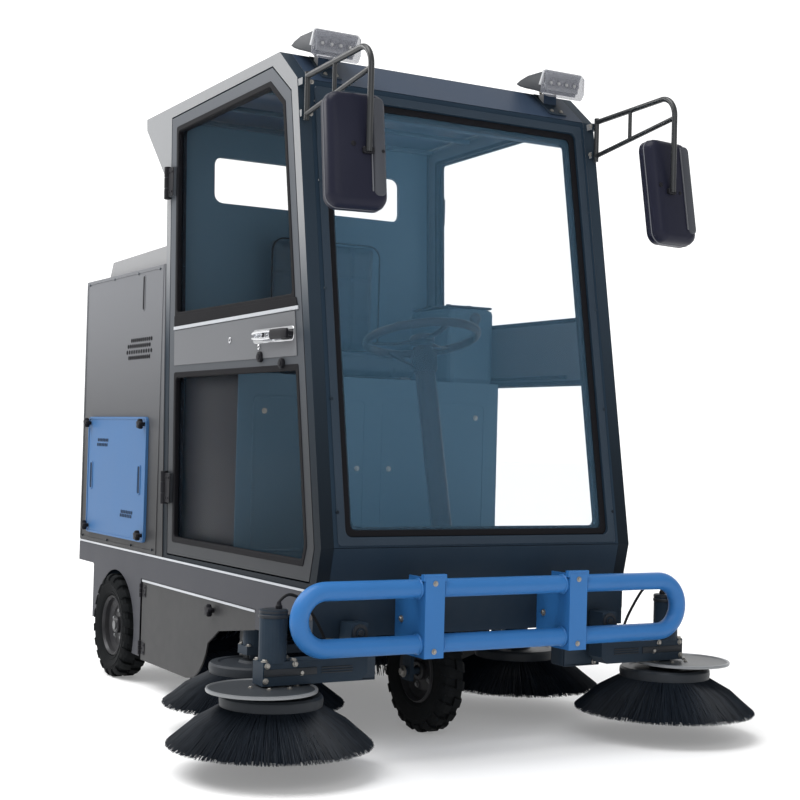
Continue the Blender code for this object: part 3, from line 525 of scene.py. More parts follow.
def pipe(work, points, radius, sides=20, closed=False):
    """Round bar along a line of points, without twist."""
    points = [Vector(p) for p in points]
    count = len(points)
    loops = []
    side = None
    for i, here in enumerate(points):
        before = points[i - 1] if i or closed else here
        after = points[(i + 1) % count] if i < count - 1 or closed else here
        along = (after - before).normalized()
        if side is None:
            side = along.orthogonal().normalized()
        side = (side - along * side.dot(along)).normalized()
        other = along.cross(side)
        loops.append([here + (side * cos(2 * pi * k / sides) + other * sin(2 * pi * k / sides)) * radius
                      for k in range(sides)])
    rings = [[work.verts.new(p) for p in loop] for loop in loops]
    pairs = list(zip(rings, rings[1:]))
    if closed:
        shift = min(range(sides), key=lambda n: (loops[0][n] - loops[-1][0]).length)
        pairs.append((rings[-1], rings[0][shift:] + rings[0][:shift]))
    for low, high in pairs:
        for k in range(sides):
            after = (k + 1) % sides
            work.faces.new((low[k], low[after], high[after], high[k]))
    if not closed:
        work.faces.new(rings[0][::-1])
        work.faces.new(rings[-1])


def facing(at, normal, spin=0.0):
    """Matrix at a point whose Z axis is the normal."""
    normal = Vector(normal).normalized()
    turn = normal.to_track_quat("Z", "Y").to_matrix().to_4x4()
    return Matrix.Translation(Vector(at)) @ turn @ Matrix.Rotation(spin, 4, "Z")


def side_matrix(side, x):
    """Plane of the side view at a distance from the middle: local (y, z), height outwards."""
    columns = (Vector((0, 1, 0)), Vector((0, 0, 1)), Vector((side, 0, 0)))
    return Matrix.Translation((side * x, 0, 0)) @ Matrix(columns).transposed().to_4x4()


def bolt(work, at, normal, radius=0.007, spin=0.3):
    """Hexagon head with a washer and a rounded crown."""
    matrix = facing(at, normal, spin)
    ring_piece(work, matrix, [(0, 0), (radius * 1.45, 0), (radius * 1.45, radius * 0.22),
                              (radius * 1.35, radius * 0.28), (0, radius * 0.28)], 20)
    ring_piece(work, matrix, [(0, radius * 0.25), (radius, radius * 0.25), (radius, radius * 0.80),
                              (radius * 0.86, radius * 0.95), (0, radius * 0.95)], 6)


def star_knob(work, at, normal, radius=0.017):
    """Five-lobed clamping knob on a short neck."""
    matrix = facing(at, normal, 0.2)
    steps = 40
    loops = []
    for level, grow in ((0.0, 0.42), (0.008, 0.40), (0.009, 0.86), (0.012, 1.0), (0.022, 1.0),
                        (0.026, 0.86), (0.027, 0.45)):
        loop = []
        for k in range(steps):
            angle = 2 * pi * k / steps
            lobes = 1 + (0.16 * cos(5 * angle) if grow > 0.8 else 0)
            reach = radius * grow * lobes
            loop.append(matrix @ Vector((reach * cos(angle), reach * sin(angle), level)))
        loops.append(loop)
    loft(work, loops)


def make(name, work, look, body, degrees=38, replaces=(), fix_normals=True):
    """Finish a bmesh as one named piece that rides on a body."""
    if fix_normals:
        bmesh.ops.recalc_face_normals(work, faces=work.faces)
    mesh = bpy.data.meshes.new(name)
    work.to_mesh(mesh)
    work.free()
    piece = bpy.data.objects.new(name, mesh)
    bpy.context.scene.collection.objects.link(piece)
    mesh.shade_smooth()
    mesh.set_sharp_from_angle(angle=radians(degrees))
    for key in ([look] if isinstance(look, str) else look):
        mesh.materials.append(MAT[key])
    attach(piece, body)
    if replaces:
        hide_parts(*replaces)
    return piece


# ---------------------------------------------------------------- wheels
def lug(work, middle, side, angle, radius, half, width, skew):
    """One tread block that wraps over the shoulder; the wheel turns about X."""
    root = radius - 0.011
    section = [(0.003, root), (0.003, radius), (half - 0.016, radius), (half - 0.006, radius - 0.007),
               (half + 0.0002, radius - 0.022), (half - 0.006, radius - 0.030), (half - 0.012, root - 0.004)]
    loops = []
    for edge, shrink in ((-0.5, 0.0008), (-0.42, 0), (0.42, 0), (0.5, 0.0008)):
        loop = []
        for x, r in section:
            turn = angle + (edge * width + skew * x) / radius
            reach = r - shrink
            loop.append(middle + Vector((side * x, reach * cos(turn), reach * sin(turn))))
        loops.append(loop)
    loft(work, loops)


def make_tyre(name, node, body, bead):
    low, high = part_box(node)
    middle = (low + high) / 2
    radius = (high.z - low.z) / 2
    half = (high.x - low.x) / 2
    axis = facing(middle, (1, 0, 0))
    work = bmesh.new()
    carcass = radius - 0.010
    wall = [(bead, half * 0.70), (bead + 0.004, half * 0.78), (bead + 0.012, half * 0.86),
            (bead + 0.014, half * 0.83), (bead + 0.030, half * 0.93), (carcass - 0.028, half * 0.965),
            (carcass - 0.026, half * 0.93), (carcass - 0.010, half * 0.90), (carcass, half * 0.74)]
    profile = wall + [(r, -h) for r, h in reversed(wall)]
    ring_piece(work, axis, profile, 96, closed=True)
    blocks = 20
    for k in range(blocks):
        for side in (1, -1):
            angle = 2 * pi * (k + (0.25 if side > 0 else 0.75)) / blocks
            lug(work, middle, side, angle, radius, half, 0.030, 0.35 * side)
    return make(name, work, "rubber", body, 30, (node,))


def make_rim(name, node, body, side, bead, nuts):
    """Dished steel rim with a rolled lip, a hub cap and wheel nuts."""
    low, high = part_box(node)
    middle = (low + high) / 2
    half = (high.x - low.x) / 2
    axis = facing(middle, (1, 0, 0))
    work = bmesh.new()
    rim = bead - 0.0008
    profile = [(0.0165, 0.010), (0.034, 0.010), (rim - 0.036, 0.006), (rim - 0.020, -0.004),
               (rim - 0.014, 0.012), (rim - 0.012, half - 0.006), (rim - 0.006, half + 0.001),
               (rim, half - 0.004), (rim, -half + 0.004), (rim - 0.006, -half - 0.001),
               (rim - 0.012, -half + 0.006), (rim - 0.014, -0.016), (rim - 0.020, -0.014),
               (rim - 0.036, -0.006), (0.034, -0.010), (0.0165, -0.010)]
    ring_piece(work, axis, profile, 72, closed=True)
    make(name, work, "rim", body, 30, (node,))
    work = bmesh.new()
    cap = bmesh.new()
    for face in ((1, -1) if side == 0 else (side,)):
        out = facing(middle, (face, 0, 0))
        ring_piece(cap, out, [(rim - 0.011, half - 0.004), (rim - 0.0065, half + 0.0035),
                              (rim - 0.003, half + 0.001), (rim - 0.0035, half - 0.005)], 72, closed=True)
        ring_piece(cap, out, [(0.0168, 0.009), (0.030, 0.009), (0.030, 0.022), (0.026, 0.026),
                              (0.0168, 0.026)], 40, closed=True)
        for k in range(nuts):
            angle = 2 * pi * (k + 0.3) / nuts
            spot = middle + Vector((face * 0.009, 0.052 * cos(angle), 0.052 * sin(angle)))
            bolt(work, spot, (face, 0, 0), 0.0075, angle)
    make(name + "_ring", cap, "rim", body, 30)
    make(name + "_nuts", work, "steel", body, 30)


for label, side in SIDES:
    make_tyre("tyre_rear_" + label, "rear_tyre_" + label, "rear_wheel_" + label, 0.1115)
    make_rim("rim_rear_" + label, "rear_rim_" + label, "rear_wheel_" + label, side, 0.112, 5)
make_tyre("tyre_front", "front_tyre", "front_wheel", 0.0995)
make_rim("rim_front", "front_rim", "front_wheel", 0, 0.100, 4)


# ---------------------------------------------------------------- brushes
def strand(work, root, bend, tip, width):
    """One bristle as a three-sided blade that tapers to its tip."""
    along = (tip - root).normalized()
    side = along.cross(UP)
    side = side.normalized() if side.length > 0.01 else Vector((1, 0, 0))
    out = side.cross(along).normalized()
    rings = []
    for point, size in ((root, width), (bend, width * 0.95), (tip, width * 0.55)):
        rings.append([work.verts.new(point + side * size), work.verts.new(point - side * size),
                      work.verts.new(point + out * size)])
    for low, high in zip(rings, rings[1:]):
        for k in range(3):
            after = (k + 1) % 3
            work.faces.new((low[k], low[after], high[after], high[k]))
    work.faces.new(rings[0][::-1])
    work.faces.new(rings[-1])


def make_disc_brush(label, node, body, seed):
    """Round plate with three rows of splayed tufts over a dense dark core."""
    low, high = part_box(node)
    middle = (low + high) / 2
    top, tip_z = high.z, low.z
    radius = (high.x - low.x) / 2
    axis = Matrix.Translation((middle.x, middle.y, 0))
    head_low = top - 0.034
    head = 0.140
    work = bmesh.new()
    ring_piece(work, axis, [(0, top), (0.030, top), (0.045, top - 0.001), (0.050, top - 0.008),
                            (0.106, top - 0.010), (0.112, top - 0.006), (head - 0.006, top - 0.008),
                            (head - 0.001, top - 0.014), (head, top - 0.024),
                            (head - 0.002, head_low - 0.004),
                            (head - 0.008, head_low - 0.007), (0, head_low - 0.007)], 72)
    make("brush_head_" + label, work, "head", body, 30, (node,))
    dice = random.Random(seed)
    work = bmesh.new()
    ridges = 96
    levels = [(0.0, head - 0.010, 0.2), (0.35, head + 0.036, 0.4), (0.7, radius - 0.044, 0.6),
              (0.93, radius - 0.016, 0.8)]
    span = head_low - tip_z
    outer = []
    for share, reach, wave in levels:
        loop = []
        for k in range(ridges * 2):
            angle = pi * k / ridges
            wobble = 0.004 * wave * (1 if k % 2 else -1) + 0.003 * wave * sin(7 * angle)
            drop = head_low - span * share + (0.004 * wave * sin(11 * angle) if share > 0.9 else 0)
            loop.append(axis @ Vector(((reach + wobble) * cos(angle), (reach + wobble) * sin(angle), drop)))
        outer.append(loop)
    inner = [[axis @ Vector((reach * cos(pi * k / ridges), reach * sin(pi * k / ridges), z))
              for k in range(ridges * 2)]
             for reach, z in ((radius - 0.060, tip_z + 0.010), (0.090, head_low - 0.015))]
    loft(work, outer + inner)
    make("bristle_core_" + label, work, "core", body, 60)
    work = bmesh.new()
    rows = ((head - 0.005, radius - 0.002, 110, 24), (head - 0.014, radius - 0.018, 90, 10),
            (head - 0.036, radius - 0.060, 44, 6))
    for start, reach, tufts, hairs in rows:
        for tuft in range(tufts):
            angle = 2 * pi * (tuft + 0.5 * (start < head - 0.01)) / tufts
            lean = dice.uniform(-0.008, 0.008)
            short = dice.uniform(0.0, 0.003)
            for _ in range(hairs):
                root_turn = angle + dice.gauss(0, 0.012)
                turn = angle + lean + dice.gauss(0, 0.026)
                far = reach - short + dice.uniform(-0.005, 0.0020)
                root = axis @ Vector((start * cos(root_turn), start * sin(root_turn), head_low - 0.004))
                half_turn = (root_turn * 0.45 + turn * 0.55)
                mid = start * 0.5 + far * 0.5 + dice.uniform(0, 0.004)
                bend = axis @ Vector((mid * cos(half_turn), mid * sin(half_turn),
                                      head_low - span * 0.44 + dice.uniform(-0.003, 0.003)))
                tip = axis @ Vector((far * cos(turn), far * sin(turn), tip_z + dice.uniform(0.0, 0.007)))
                strand(work, root, bend, tip, dice.uniform(0.0008, 0.0013))
    make("bristles_" + label, work, "bristle", body, 60, fix_normals=False)


for number, (label, side) in enumerate(SIDES):
    make_disc_brush("front_" + label, "front_brush_" + label, "front_brush_" + label, 11 + number)
    make_disc_brush("mid_" + label, "mid_brush_" + label, "mid_brush_" + label, 21 + number)


def make_roller():
    """Cylindrical brush: a tube with rows of tufts in a chevron."""
    low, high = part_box("main_roller")
    middle = (low + high) / 2
    half = (high.x - low.x) / 2
    radius = (high.z - low.z) / 2
    axis = facing(middle, (1, 0, 0))
    work = bmesh.new()
    profile = [(0.0165, half - 0.004), (0.088, half - 0.004), (0.094, half - 0.010),
               (0.094, -half + 0.010), (0.088, -half + 0.004), (0.0165, -half + 0.004)]
    ring_piece(work, axis, profile, 48, closed=True)
    make("roller_tube", work, "core", "roller", 30, ("main_roller",))
    dice = random.Random(5)
    work = bmesh.new()
    rows, tufts, hairs = 14, 34, 4
    for row in range(rows):
        for tuft in range(tufts):
            x = (tuft + 0.5) / tufts * 2 - 1
            angle = 2 * pi * row / rows + 0.5 * abs(x)
            for _ in range(hairs):
                turn = angle + dice.gauss(0, 0.05)
                place = middle.x + x * (half - 0.012) + dice.gauss(0, 0.006)
                place = max(-half + 0.006, min(half - 0.006, place))
                points = []
                for reach in (0.090, 0.112, radius - dice.uniform(0.001, 0.008)):
                    points.append(Vector((place, middle.y + reach * cos(turn), middle.z + reach * sin(turn))))
                strand(work, *points, 0.0016)
    make("roller_bristles", work, "bristle", "roller", 60, fix_normals=False)


make_roller()



# ---------------------------------------------------------------- front arms, motors and guards
def make_motor_fittings(label, side, node, body, hub):
    """Cap ring and end bell on top of a gear motor."""
    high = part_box(node)[1]
    top = high.z
    x, y = side * hub[0], hub[1]
    radius = 0.038
    work = bmesh.new()
    at = Matrix.Translation((x, y, 0))
    ring_piece(work, at, [(radius + 0.0003, top - 0.022), (radius + 0.0022, top - 0.020),
                          (radius + 0.0022, top - 0.014), (radius + 0.0003, top - 0.012)], 48, closed=True)
    ring_piece(work, at, [(0, top - 0.0005), (radius - 0.002, top - 0.0005), (radius + 0.001, top - 0.002),
                          (radius + 0.0012, top - 0.008), (radius + 0.0002, top - 0.009),
                          (radius - 0.004, top + 0.0012), (0.012, top + 0.0014), (0, top + 0.0014)], 48)
    make("motor_cap_" + label, work, "motor", body)
    return x, y, top


FRONT_HUB = (0.677, -0.912)
MID_HUB = (0.483, -0.376)
for label, side in SIDES:
    body = "front_arm_" + label
    x, y, top = make_motor_fittings("front_" + label, side, "front_brush_arm_" + label, body, FRONT_HUB)
    work = bmesh.new()
    for along, height in ((0.030, 0.290), (0.034, 0.250), (-0.052, 0.292), (-0.072, 0.268)):
        bolt(work, (x + side * along, -0.9455, height), (0, -1, 0), 0.0058)
    for along in (-0.052, 0.034):
        for depth in (-0.936, -0.889):
            bolt(work, (x + side * along, depth, 0.3003), (0, 0, 1), 0.0068)
    make("arm_bolts_front_" + label, work, "zinc", body)
    work = bmesh.new()
    bolt(work, (side * 0.430, -0.9453, 0.366), (0, -1, 0), 0.0095)
    box_piece(work, (min(side * 0.560, side * 0.716), -0.9485, 0.262),
              (max(side * 0.560, side * 0.716), -0.9453, 0.281), 0.001)
    for z in (0.2645, 0.2715, 0.2785):
        box_piece(work, (min(side * 0.45, side * 0.545), -0.9475, z - 0.0015),
                  (max(side * 0.45, side * 0.545), -0.9453, z + 0.0015), 0.0006)
    ring_piece(work, facing((side * 0.430, -0.9452, 0.366), (0, -1, 0)),
               [(0.0150, 0), (0.024, 0), (0.024, 0.003), (0.0150, 0.003)], 40, closed=True)
    make("arm_ribs_front_" + label, work, "motor", body)
    work = bmesh.new()
    for start, radius in (((side * 0.662, -0.912, 0.4375), 0.0095), ((side * 0.512, -0.906, 0.3003), 0.0085)):
        ring_piece(work, Matrix.Translation(start),
                   [(0.0045, 0), (radius, 0), (radius, 0.008), (radius * 0.78, 0.010), (radius * 0.62, 0.018),
                    (0.0045, 0.019)], 24, closed=True)
    make("lead_glands_" + label, work, "black", body)

    body = "mid_arm_" + label
    x, y, top = make_motor_fittings("mid_" + label, side, "mid_brush_arm_" + label, body, MID_HUB)
    work = bmesh.new()
    for along in (-0.034, 0.034):
        for depth in (-0.403, -0.349):
            bolt(work, (x + side * along, depth, 0.2623), (0, 0, 1), 0.0062)
    bolt(work, (side * 0.200, -0.4215, 0.365), (0, -1, 0), 0.012)
    make("arm_bolts_mid_" + label, work, "zinc", body)


# ---------------------------------------------------------------- bumper
def make_bumper():
    low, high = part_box("bumper_loop")
    radius = (high.y - low.y) / 2
    y = (low.y + high.y) / 2
    bend = (high.z - low.z) / 2 - radius
    middle = (high.z + low.z) / 2
    reach = high.x - radius - bend
    line = []
    for side, start in ((1, -90), (-1, 90)):
        for step in range(25):
            angle = radians(start + 180 * step / 24)
            line.append((side * reach + bend * cos(angle), y, middle + bend * sin(angle)))
    work = bmesh.new()
    pipe(work, line, radius, 32, closed=True)
    make("bumper_tube", work, "blue", "base", 60, ("bumper_loop",))
    work = bmesh.new()
    bolts = bmesh.new()
    for label, side in SIDES:
        low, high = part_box("bumper_post_" + label)
        x = (low.x + high.x) / 2
        for z in (middle + bend, middle - bend):
            for edge in (-0.0375, 0.0375):
                ring_piece(work, facing((x + edge - 0.0015, y, z), (1, 0, 0)),
                           [(radius + 0.0004, -0.0015), (radius + 0.0035, 0.0012), (radius + 0.0035, 0.0020),
                            (radius + 0.0004, 0.0045)], 32, closed=True)
        for z in (0.318, 0.505):
            bolt(bolts, (x, low.y - 0.0002, z), (0, -1, 0), 0.0055)
        for edge in (-1, 1):
            bolt(bolts, (x + edge * 0.0312, -0.905, 0.322), (edge, 0, 0), 0.007)
            bolt(bolts, (x + edge * 0.0312, -0.905, 0.395), (edge, 0, 0), 0.007)
    make("bumper_welds", work, "blue", "base", 60)
    make("bumper_bolts", bolts, "zinc", "base")


make_bumper()


# ---------------------------------------------------------------- body sides
def make_body_sides():
    for label, side in SIDES:
        # dark discs and a dark slot on the skin for the vent holes: painted shade in the openings
        holes = bmesh.new()
        for row, (z, first, last) in enumerate(((1.234, 0.452, 0.655), (1.213, 0.468, 0.690),
                                                (1.192, 0.452, 0.700), (1.171, 0.470, 0.680))):
            count = 11 + (row % 2)
            for k in range(count):
                y = first + (last - first) * k / (count - 1)
                ring_piece(holes, facing((side * BODY_SKIN, y, z), (side, 0, 0)),
                           [(0, 0.0004), (0.0060, 0.0004), (0.0074, 0.0010), (0.0078, 0.0002),
                            (0, 0.0001)], 14)
        slot = rounded(rectangle(0.533, 1.340, 0.549, 1.462), 0.0075)
        slab(holes, side_matrix(side, BODY_SKIN), slot, 0.0012, 0.0004)
        make("body_vents_" + label, holes, "seal", "base")
        rims = bmesh.new()
        plane = side_matrix(side, BODY_SKIN - 0.0002)
        frame_slab(rims, plane, rounded(rectangle(0.529, 1.336, 0.553, 1.466), 0.0110),
                   rounded(rectangle(0.5335, 1.3405, 0.5485, 1.4615), 0.0070), 0.0020, 0.0006)
        frame_slab(rims, plane, rounded(rectangle(0.349, 0.478, 1.1835, 1.4875), 0.004),
                   rounded(rectangle(0.361, 0.490, 1.1715, 1.4755), 0.004), 0.0022, 0.0008)
        make("body_flanges_" + label, rims, "grey", "base")
        # pale strip along the deck's top outer edge: painted highlight
        rail = bmesh.new()
        side_box(rail, side, (0.5370, 0.5392), (-0.868, 0.4680), (1.184, 0.4752), 0.0008)
        make("deck_edge_highlight_" + label, rail, "bright", "base")
        rivets = bmesh.new()
        for y in (0.385, 0.600, 0.860, 1.150):
            for z in (1.475, 0.492):
                ring_piece(rivets, facing((side * 0.5385, y, z), (side, 0, 0)),
                           [(0, 0.0036), (0.0030, 0.0031), (0.0052, 0.0008), (0.0052, 0), (0, 0)], 16)
        make("body_rivets_" + label, rivets, "silver", "base")


make_body_sides()


# ---------------------------------------------------------------- skirt plates
ARCH_CENTRE = (0.7475, 0.188)
ARCH_RADIUS = 0.2035


def make_skirt_plates():
    """Outer skin of the deck's skirt, cut round the rear wheel and following the apron's top edge."""
    arch = [(ARCH_CENTRE[0] + ARCH_RADIUS * cos(radians(turn)),
             ARCH_CENTRE[1] + ARCH_RADIUS * sin(radians(turn))) for turn in range(2, 203, 8)]
    outline = [(1.184, 0.4665), (1.184, 0.3950), (1.010, 0.3950), (1.003, 0.3880), (1.003, 0.1900)] + arch + \
              [(0.552, 0.110), (0.484, 0.110), (0.484, 0.3840), (-0.493, 0.3840), (-0.493, 0.3250),
               (-0.600, 0.3250), (-0.636, 0.3950), (-0.868, 0.3950), (-0.868, 0.4665)]
    for label, side in SIDES:
        work = bmesh.new()
        slab(work, side_matrix(side, 0.5371), outline, 0.0016, 0.0005)
        make("skirt_plate_" + label, work, "skirt", "base")


make_skirt_plates()


def make_side_panels():
    for label, side in SIDES:
        body = "panel_" + label
        low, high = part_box("side_panel_" + label)
        face = max(abs(low.x), abs(high.x)) + 0.0002
        # dark slabs for the vent slots: painted shade in the openings
        trim = bmesh.new()
        plane = side_matrix(side, face)
        for y in (0.517, 1.046):
            slab(trim, plane, rounded(rectangle(y - 0.011, 0.683, y + 0.011, 0.779), 0.006), 0.0010, 0.0004)
        for left, right, base, top in ((0.860, 0.985, 0.842, 0.876), (0.576, 0.703, 0.588, 0.618)):
            count = 7
            for k in range(count):
                y = left + (right - left) * (k + 0.5) / count
                for z, step in ((base + 0.008, 0.004), (top - 0.008, -0.004)):
                    spot = rounded(rectangle(y - 0.0062 + step, z - 0.0060,
                                             y + 0.0062 + step, z + 0.0060), 0.003)
                    slab(trim, plane, spot, 0.0010, 0.0004)
        make("panel_slots_" + label, trim, "slot_blue", body)
        rim = bmesh.new()
        outer = rounded(rectangle(low.y + 0.0005, low.z + 0.0005, high.y - 0.0005, high.z - 0.0005), 0.022, 8)
        inner = rounded(rectangle(low.y + 0.0085, low.z + 0.0085, high.y - 0.0085, high.z - 0.0085), 0.015, 8)
        frame_slab(rim, plane, outer, inner, 0.0022, 0.0009)
        for y in (0.517, 1.046):
            frame_slab(rim, plane, rounded(rectangle(y - 0.0165, 0.6775, y + 0.0165, 0.7845), 0.010),
                       rounded(rectangle(y - 0.0112, 0.6828, y + 0.0112, 0.7792), 0.006), 0.0024, 0.0009)
        make("panel_rim_" + label, rim, "panel", body)
        knobs = bmesh.new()
        for y, z in ((1.070, 0.932), (0.476, 0.930), (1.068, 0.536), (0.474, 0.536)):
            star_knob(knobs, (side * face, y, z), (side, 0, 0), 0.0165)
        make("panel_knobs_" + label, knobs, "black", body)


make_side_panels()


def make_aprons():
    for label, side in SIDES:
        body = "apron_" + label
        # pale strip on the apron's top edge: painted highlight
        edge = bmesh.new()
        side_box(edge, side, (BODY_SKIN, 0.5402), (-0.489, 0.3742), (0.469, 0.3818), 0.0008)
        make("apron_edge_highlight_" + label, edge, "bright", body)
        knob = bmesh.new()
        star_knob(knob, (side * BODY_SKIN, -0.172, 0.345), (side, 0, 0), 0.0180)
        make("apron_knob_" + label, knob, "black", body)
        hinge = bmesh.new()
        for z in (0.343, 0.141):
            slab(hinge, side_matrix(side, BODY_SKIN),
                 rounded(rectangle(0.432, z - 0.021, 0.462, z + 0.021), 0.004), 0.0022, 0.0007)
            for part in range(3):
                base = z - 0.024 + part * 0.0165
                ring_piece(hinge, Matrix.Translation((side * 0.5400, 0.4760, base)),
                           [(0, 0), (0.0056, 0.0004), (0.0060, 0.0014), (0.0060, 0.0142), (0.0056, 0.0152),
                            (0, 0.0156)], 20)
            for y, dz in ((0.441, -0.012), (0.441, 0.012), (0.453, 0.0)):
                ring_piece(hinge, facing((side * 0.5393, y, z + dz), (side, 0, 0)),
                           [(0, 0.0026), (0.0028, 0.0020), (0.0036, 0), (0, 0)], 14)
        make("apron_hinges_" + label, hinge, "black", body)
        arch = bmesh.new()
        side_box(arch, side, (0.470, 0.474), (-0.300, 0.200), (-0.240, 0.400), 0.001)
        side_box(arch, side, (0.440, 0.474), (-0.300, 0.396), (-0.240, 0.454), 0.001)
        make("arch_bracket_" + label, arch, "steel", "base")


make_aprons()


# ---------------------------------------------------------------- doors
DOOR_FACE = 0.5342
HANDLE_Z = 1.197
UPPER_PANE = [(0.236, 1.296), (-0.694, 1.296), (-0.592, 1.884), (-0.486, 1.962), (0.270, 1.952)]
LOWER_PANE = [(0.205, 0.536), (-0.792, 0.540), (-0.812, 0.594), (-0.726, 1.105), (0.230, 1.105)]


def make_doors():
    for label, side in SIDES:
        body = "door_" + label
        seals = bmesh.new()
        for pane in (UPPER_PANE, LOWER_PANE):
            outer = rounded(inset(pane, -0.004), 0.010)
            inner = rounded(inset(pane, 0.016), 0.012)
            frame_slab(seals, side_matrix(side, 0.5214), outer, inner, 0.0145, 0.003)
            inner_frame = rounded(inset(pane, 0.012), 0.012)
            frame_slab(seals, side_matrix(side, 0.5035), rounded(inset(pane, -0.001), 0.010), inner_frame,
                       0.0122, 0.002)
        slab(seals, side_matrix(side, DOOR_FACE), [(0.239, 1.2645), (-0.715, 1.2765), (-0.704, 1.300),
                                                   (0.240, 1.300)], 0.0030, 0.0009)
        make("door_seals_" + label, seals, "seal", body)

        rail = bmesh.new()
        plane = side_matrix(side, DOOR_FACE)
        lean = [(0.232, 1.130), (-0.722, 1.130), (-0.700, 1.262), (0.238, 1.250)]
        slab(rail, plane, rounded(inset(lean, 0.001), 0.004), 0.0026, 0.0009)
        make("door_rail_" + label, rail, "rail", body)
        # pale strip along the top of the door rail: painted highlight
        strip = bmesh.new()
        slab(strip, plane, [(0.240, 1.252), (-0.722, 1.264), (-0.7205, 1.275), (0.2405, 1.263)],
             0.0046, 0.0014)
        make("door_strip_highlight_" + label, strip, "bright", body)

        hinges = bmesh.new()
        for height in (0.715, 1.765):
            y = 0.257 + (height - 0.492) * 0.0467
            lean_axis = Vector((0, 0.0467, 0.9989))
            slab(hinges, side_matrix(side, 0.5462), rounded(rectangle(y - 0.056, height - 0.050,
                                                                      y - 0.0085, height + 0.050), 0.005),
                 0.0022, 0.0008)
            middle = Vector((side * 0.546, y, height))
            for start in (-0.0562, -0.0184, 0.0192):
                ring_piece(hinges, facing(middle + lean_axis * start, lean_axis),
                           [(0, 0), (0.0108, 0.0002), (0.0122, 0.0016), (0.0122, 0.0354), (0.0108, 0.0368),
                            (0, 0.0370)], 28)
            for dz in (-0.034, 0.034):
                for dy in (-0.044, -0.022):
                    ring_piece(hinges, facing((side * 0.5483, y + dy, height + dz), (side, 0, 0)),
                               [(0, 0.0030), (0.0030, 0.0026), (0.0048, 0.0006), (0.0048, 0), (0, 0)], 16)
        make("door_hinges_" + label, hinges, "black", body)

        plate = bmesh.new()
        slab(plate, side_matrix(side, DOOR_FACE + 0.0024),
             rounded(rectangle(-0.704, 1.176, -0.420, 1.219), 0.016, 8), 0.0030, 0.0012)
        for y, z, radius in ((-0.463, 1.166, 0.0085), (-0.245, 1.196, 0.0095)):
            ring_piece(plate, facing((side * (DOOR_FACE + 0.0024), y, z), (side, 0, 0)),
                       [(0.0035, 0.0012), (0.0035, 0.0038), (radius * 0.7, 0.0046), (radius, 0.0034),
                        (radius, 0), (0.0035, 0)], 28, closed=True)
        make("handle_plate_" + label, plate, "chrome", body)
        dark = bmesh.new()
        for y, z, radius in ((-0.463, 1.166, 0.0036), (-0.245, 1.196, 0.0040)):
            ring_piece(dark, facing((side * (DOOR_FACE + 0.0024), y, z), (side, 0, 0)),
                       [(0, 0.0026), (radius, 0.0026), (radius, 0), (0, 0)], 20)
        for y, z, radius in ((-0.474, 1.136, 0.0165), (-0.625, 1.112, 0.0150)):
            ring_piece(dark, facing((side * (DOOR_FACE + 0.0006), y, z), (side, 0, 0)),
                       [(0, 0.0130), (radius * 0.55, 0.0126), (radius * 0.62, 0.0100),
                        (radius * 0.92, 0.0094), (radius, 0.0070), (radius, 0), (0, 0)], 32)
        side_box(dark, side, (0.4955, 0.5030), (-0.60, 1.112), (0.16, 1.124), 0.001)
        make("door_locks_" + label, dark, "black", body)
        make_handle(label, side)


def make_handle(label, side):
    """Lever with a moulded grip, a chrome bow and a push button; it turns on its front post."""
    body = "handle_" + label
    low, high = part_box("door_handle_" + label)
    outer = max(abs(low.x), abs(high.x))
    work = bmesh.new()
    sections = []
    for y, depth, half, middle in ((-0.700, 0.009, 0.008, 0.5585), (-0.696, 0.012, 0.0135, 0.5580),
                                   (-0.660, 0.013, 0.0152, 0.5575), (-0.600, 0.012, 0.0150, 0.5575),
                                   (-0.585, 0.0105, 0.0130, 0.5578)):
        loop = []
        for k in range(24):
            angle = 2 * pi * k / 24
            reach = (abs(cos(angle)) ** 0.7 * (1 if cos(angle) > 0 else -1),
                     abs(sin(angle)) ** 0.7 * (1 if sin(angle) > 0 else -1))
            loop.append(Vector((side * min(outer, middle + depth * 0.5 * reach[0]), y,
                                HANDLE_Z + half * reach[1])))
        sections.append(loop)
    loft(work, sections)
    ring_piece(work, facing((side * 0.5362, -0.686, HANDLE_Z), (side, 0, 0)),
               [(0, 0), (0.0078, 0), (0.0078, 0.020), (0, 0.020)], 28)
    make("handle_grip_" + label, work, "black", body, replaces=("door_handle_" + label,))
    work = bmesh.new()
    bow = smooth_line([(side * 0.5585, -0.588, 1.207), (side * 0.5600, -0.550, 1.208),
                       (side * 0.5590, -0.490, 1.207), (side * 0.5540, -0.452, 1.204),
                       (side * 0.5440, -0.442, 1.200), (side * 0.5400, -0.441, 1.198)], 6)
    pipe(work, bow, 0.0050, 14)
    bow = [Vector((p.x, p.y, 2 * HANDLE_Z - p.z)) for p in bow]
    pipe(work, bow, 0.0046, 14)
    ring_piece(work, facing((side * 0.5490, -0.535, HANDLE_Z), (side, 0, 0)),
               [(0.0105, 0), (0.0140, 0), (0.0146, 0.0060), (0.0138, 0.0100), (0.0112, 0.0104),
                (0.0105, 0.0080)], 36, closed=True)
    make("handle_bow_" + label, work, "chrome", body)
    work = bmesh.new()
    ring_piece(work, facing((side * 0.5490, -0.535, HANDLE_Z), (side, 0, 0)),
               [(0, 0.0090), (0.0060, 0.0086), (0.0100, 0.0070), (0.0102, 0), (0, 0)], 32)
    make("handle_button_" + label, work, "black", body)


make_doors()


# ---------------------------------------------------------------- windscreen and roof
FOLD = Vector((0, -0.900, 0.595))
CHAMFER = Vector((0, -0.668, 1.940))
SCREEN_UP = (CHAMFER - FOLD).normalized()
SCREEN_OUT = Vector((1, 0, 0)).cross(SCREEN_UP)


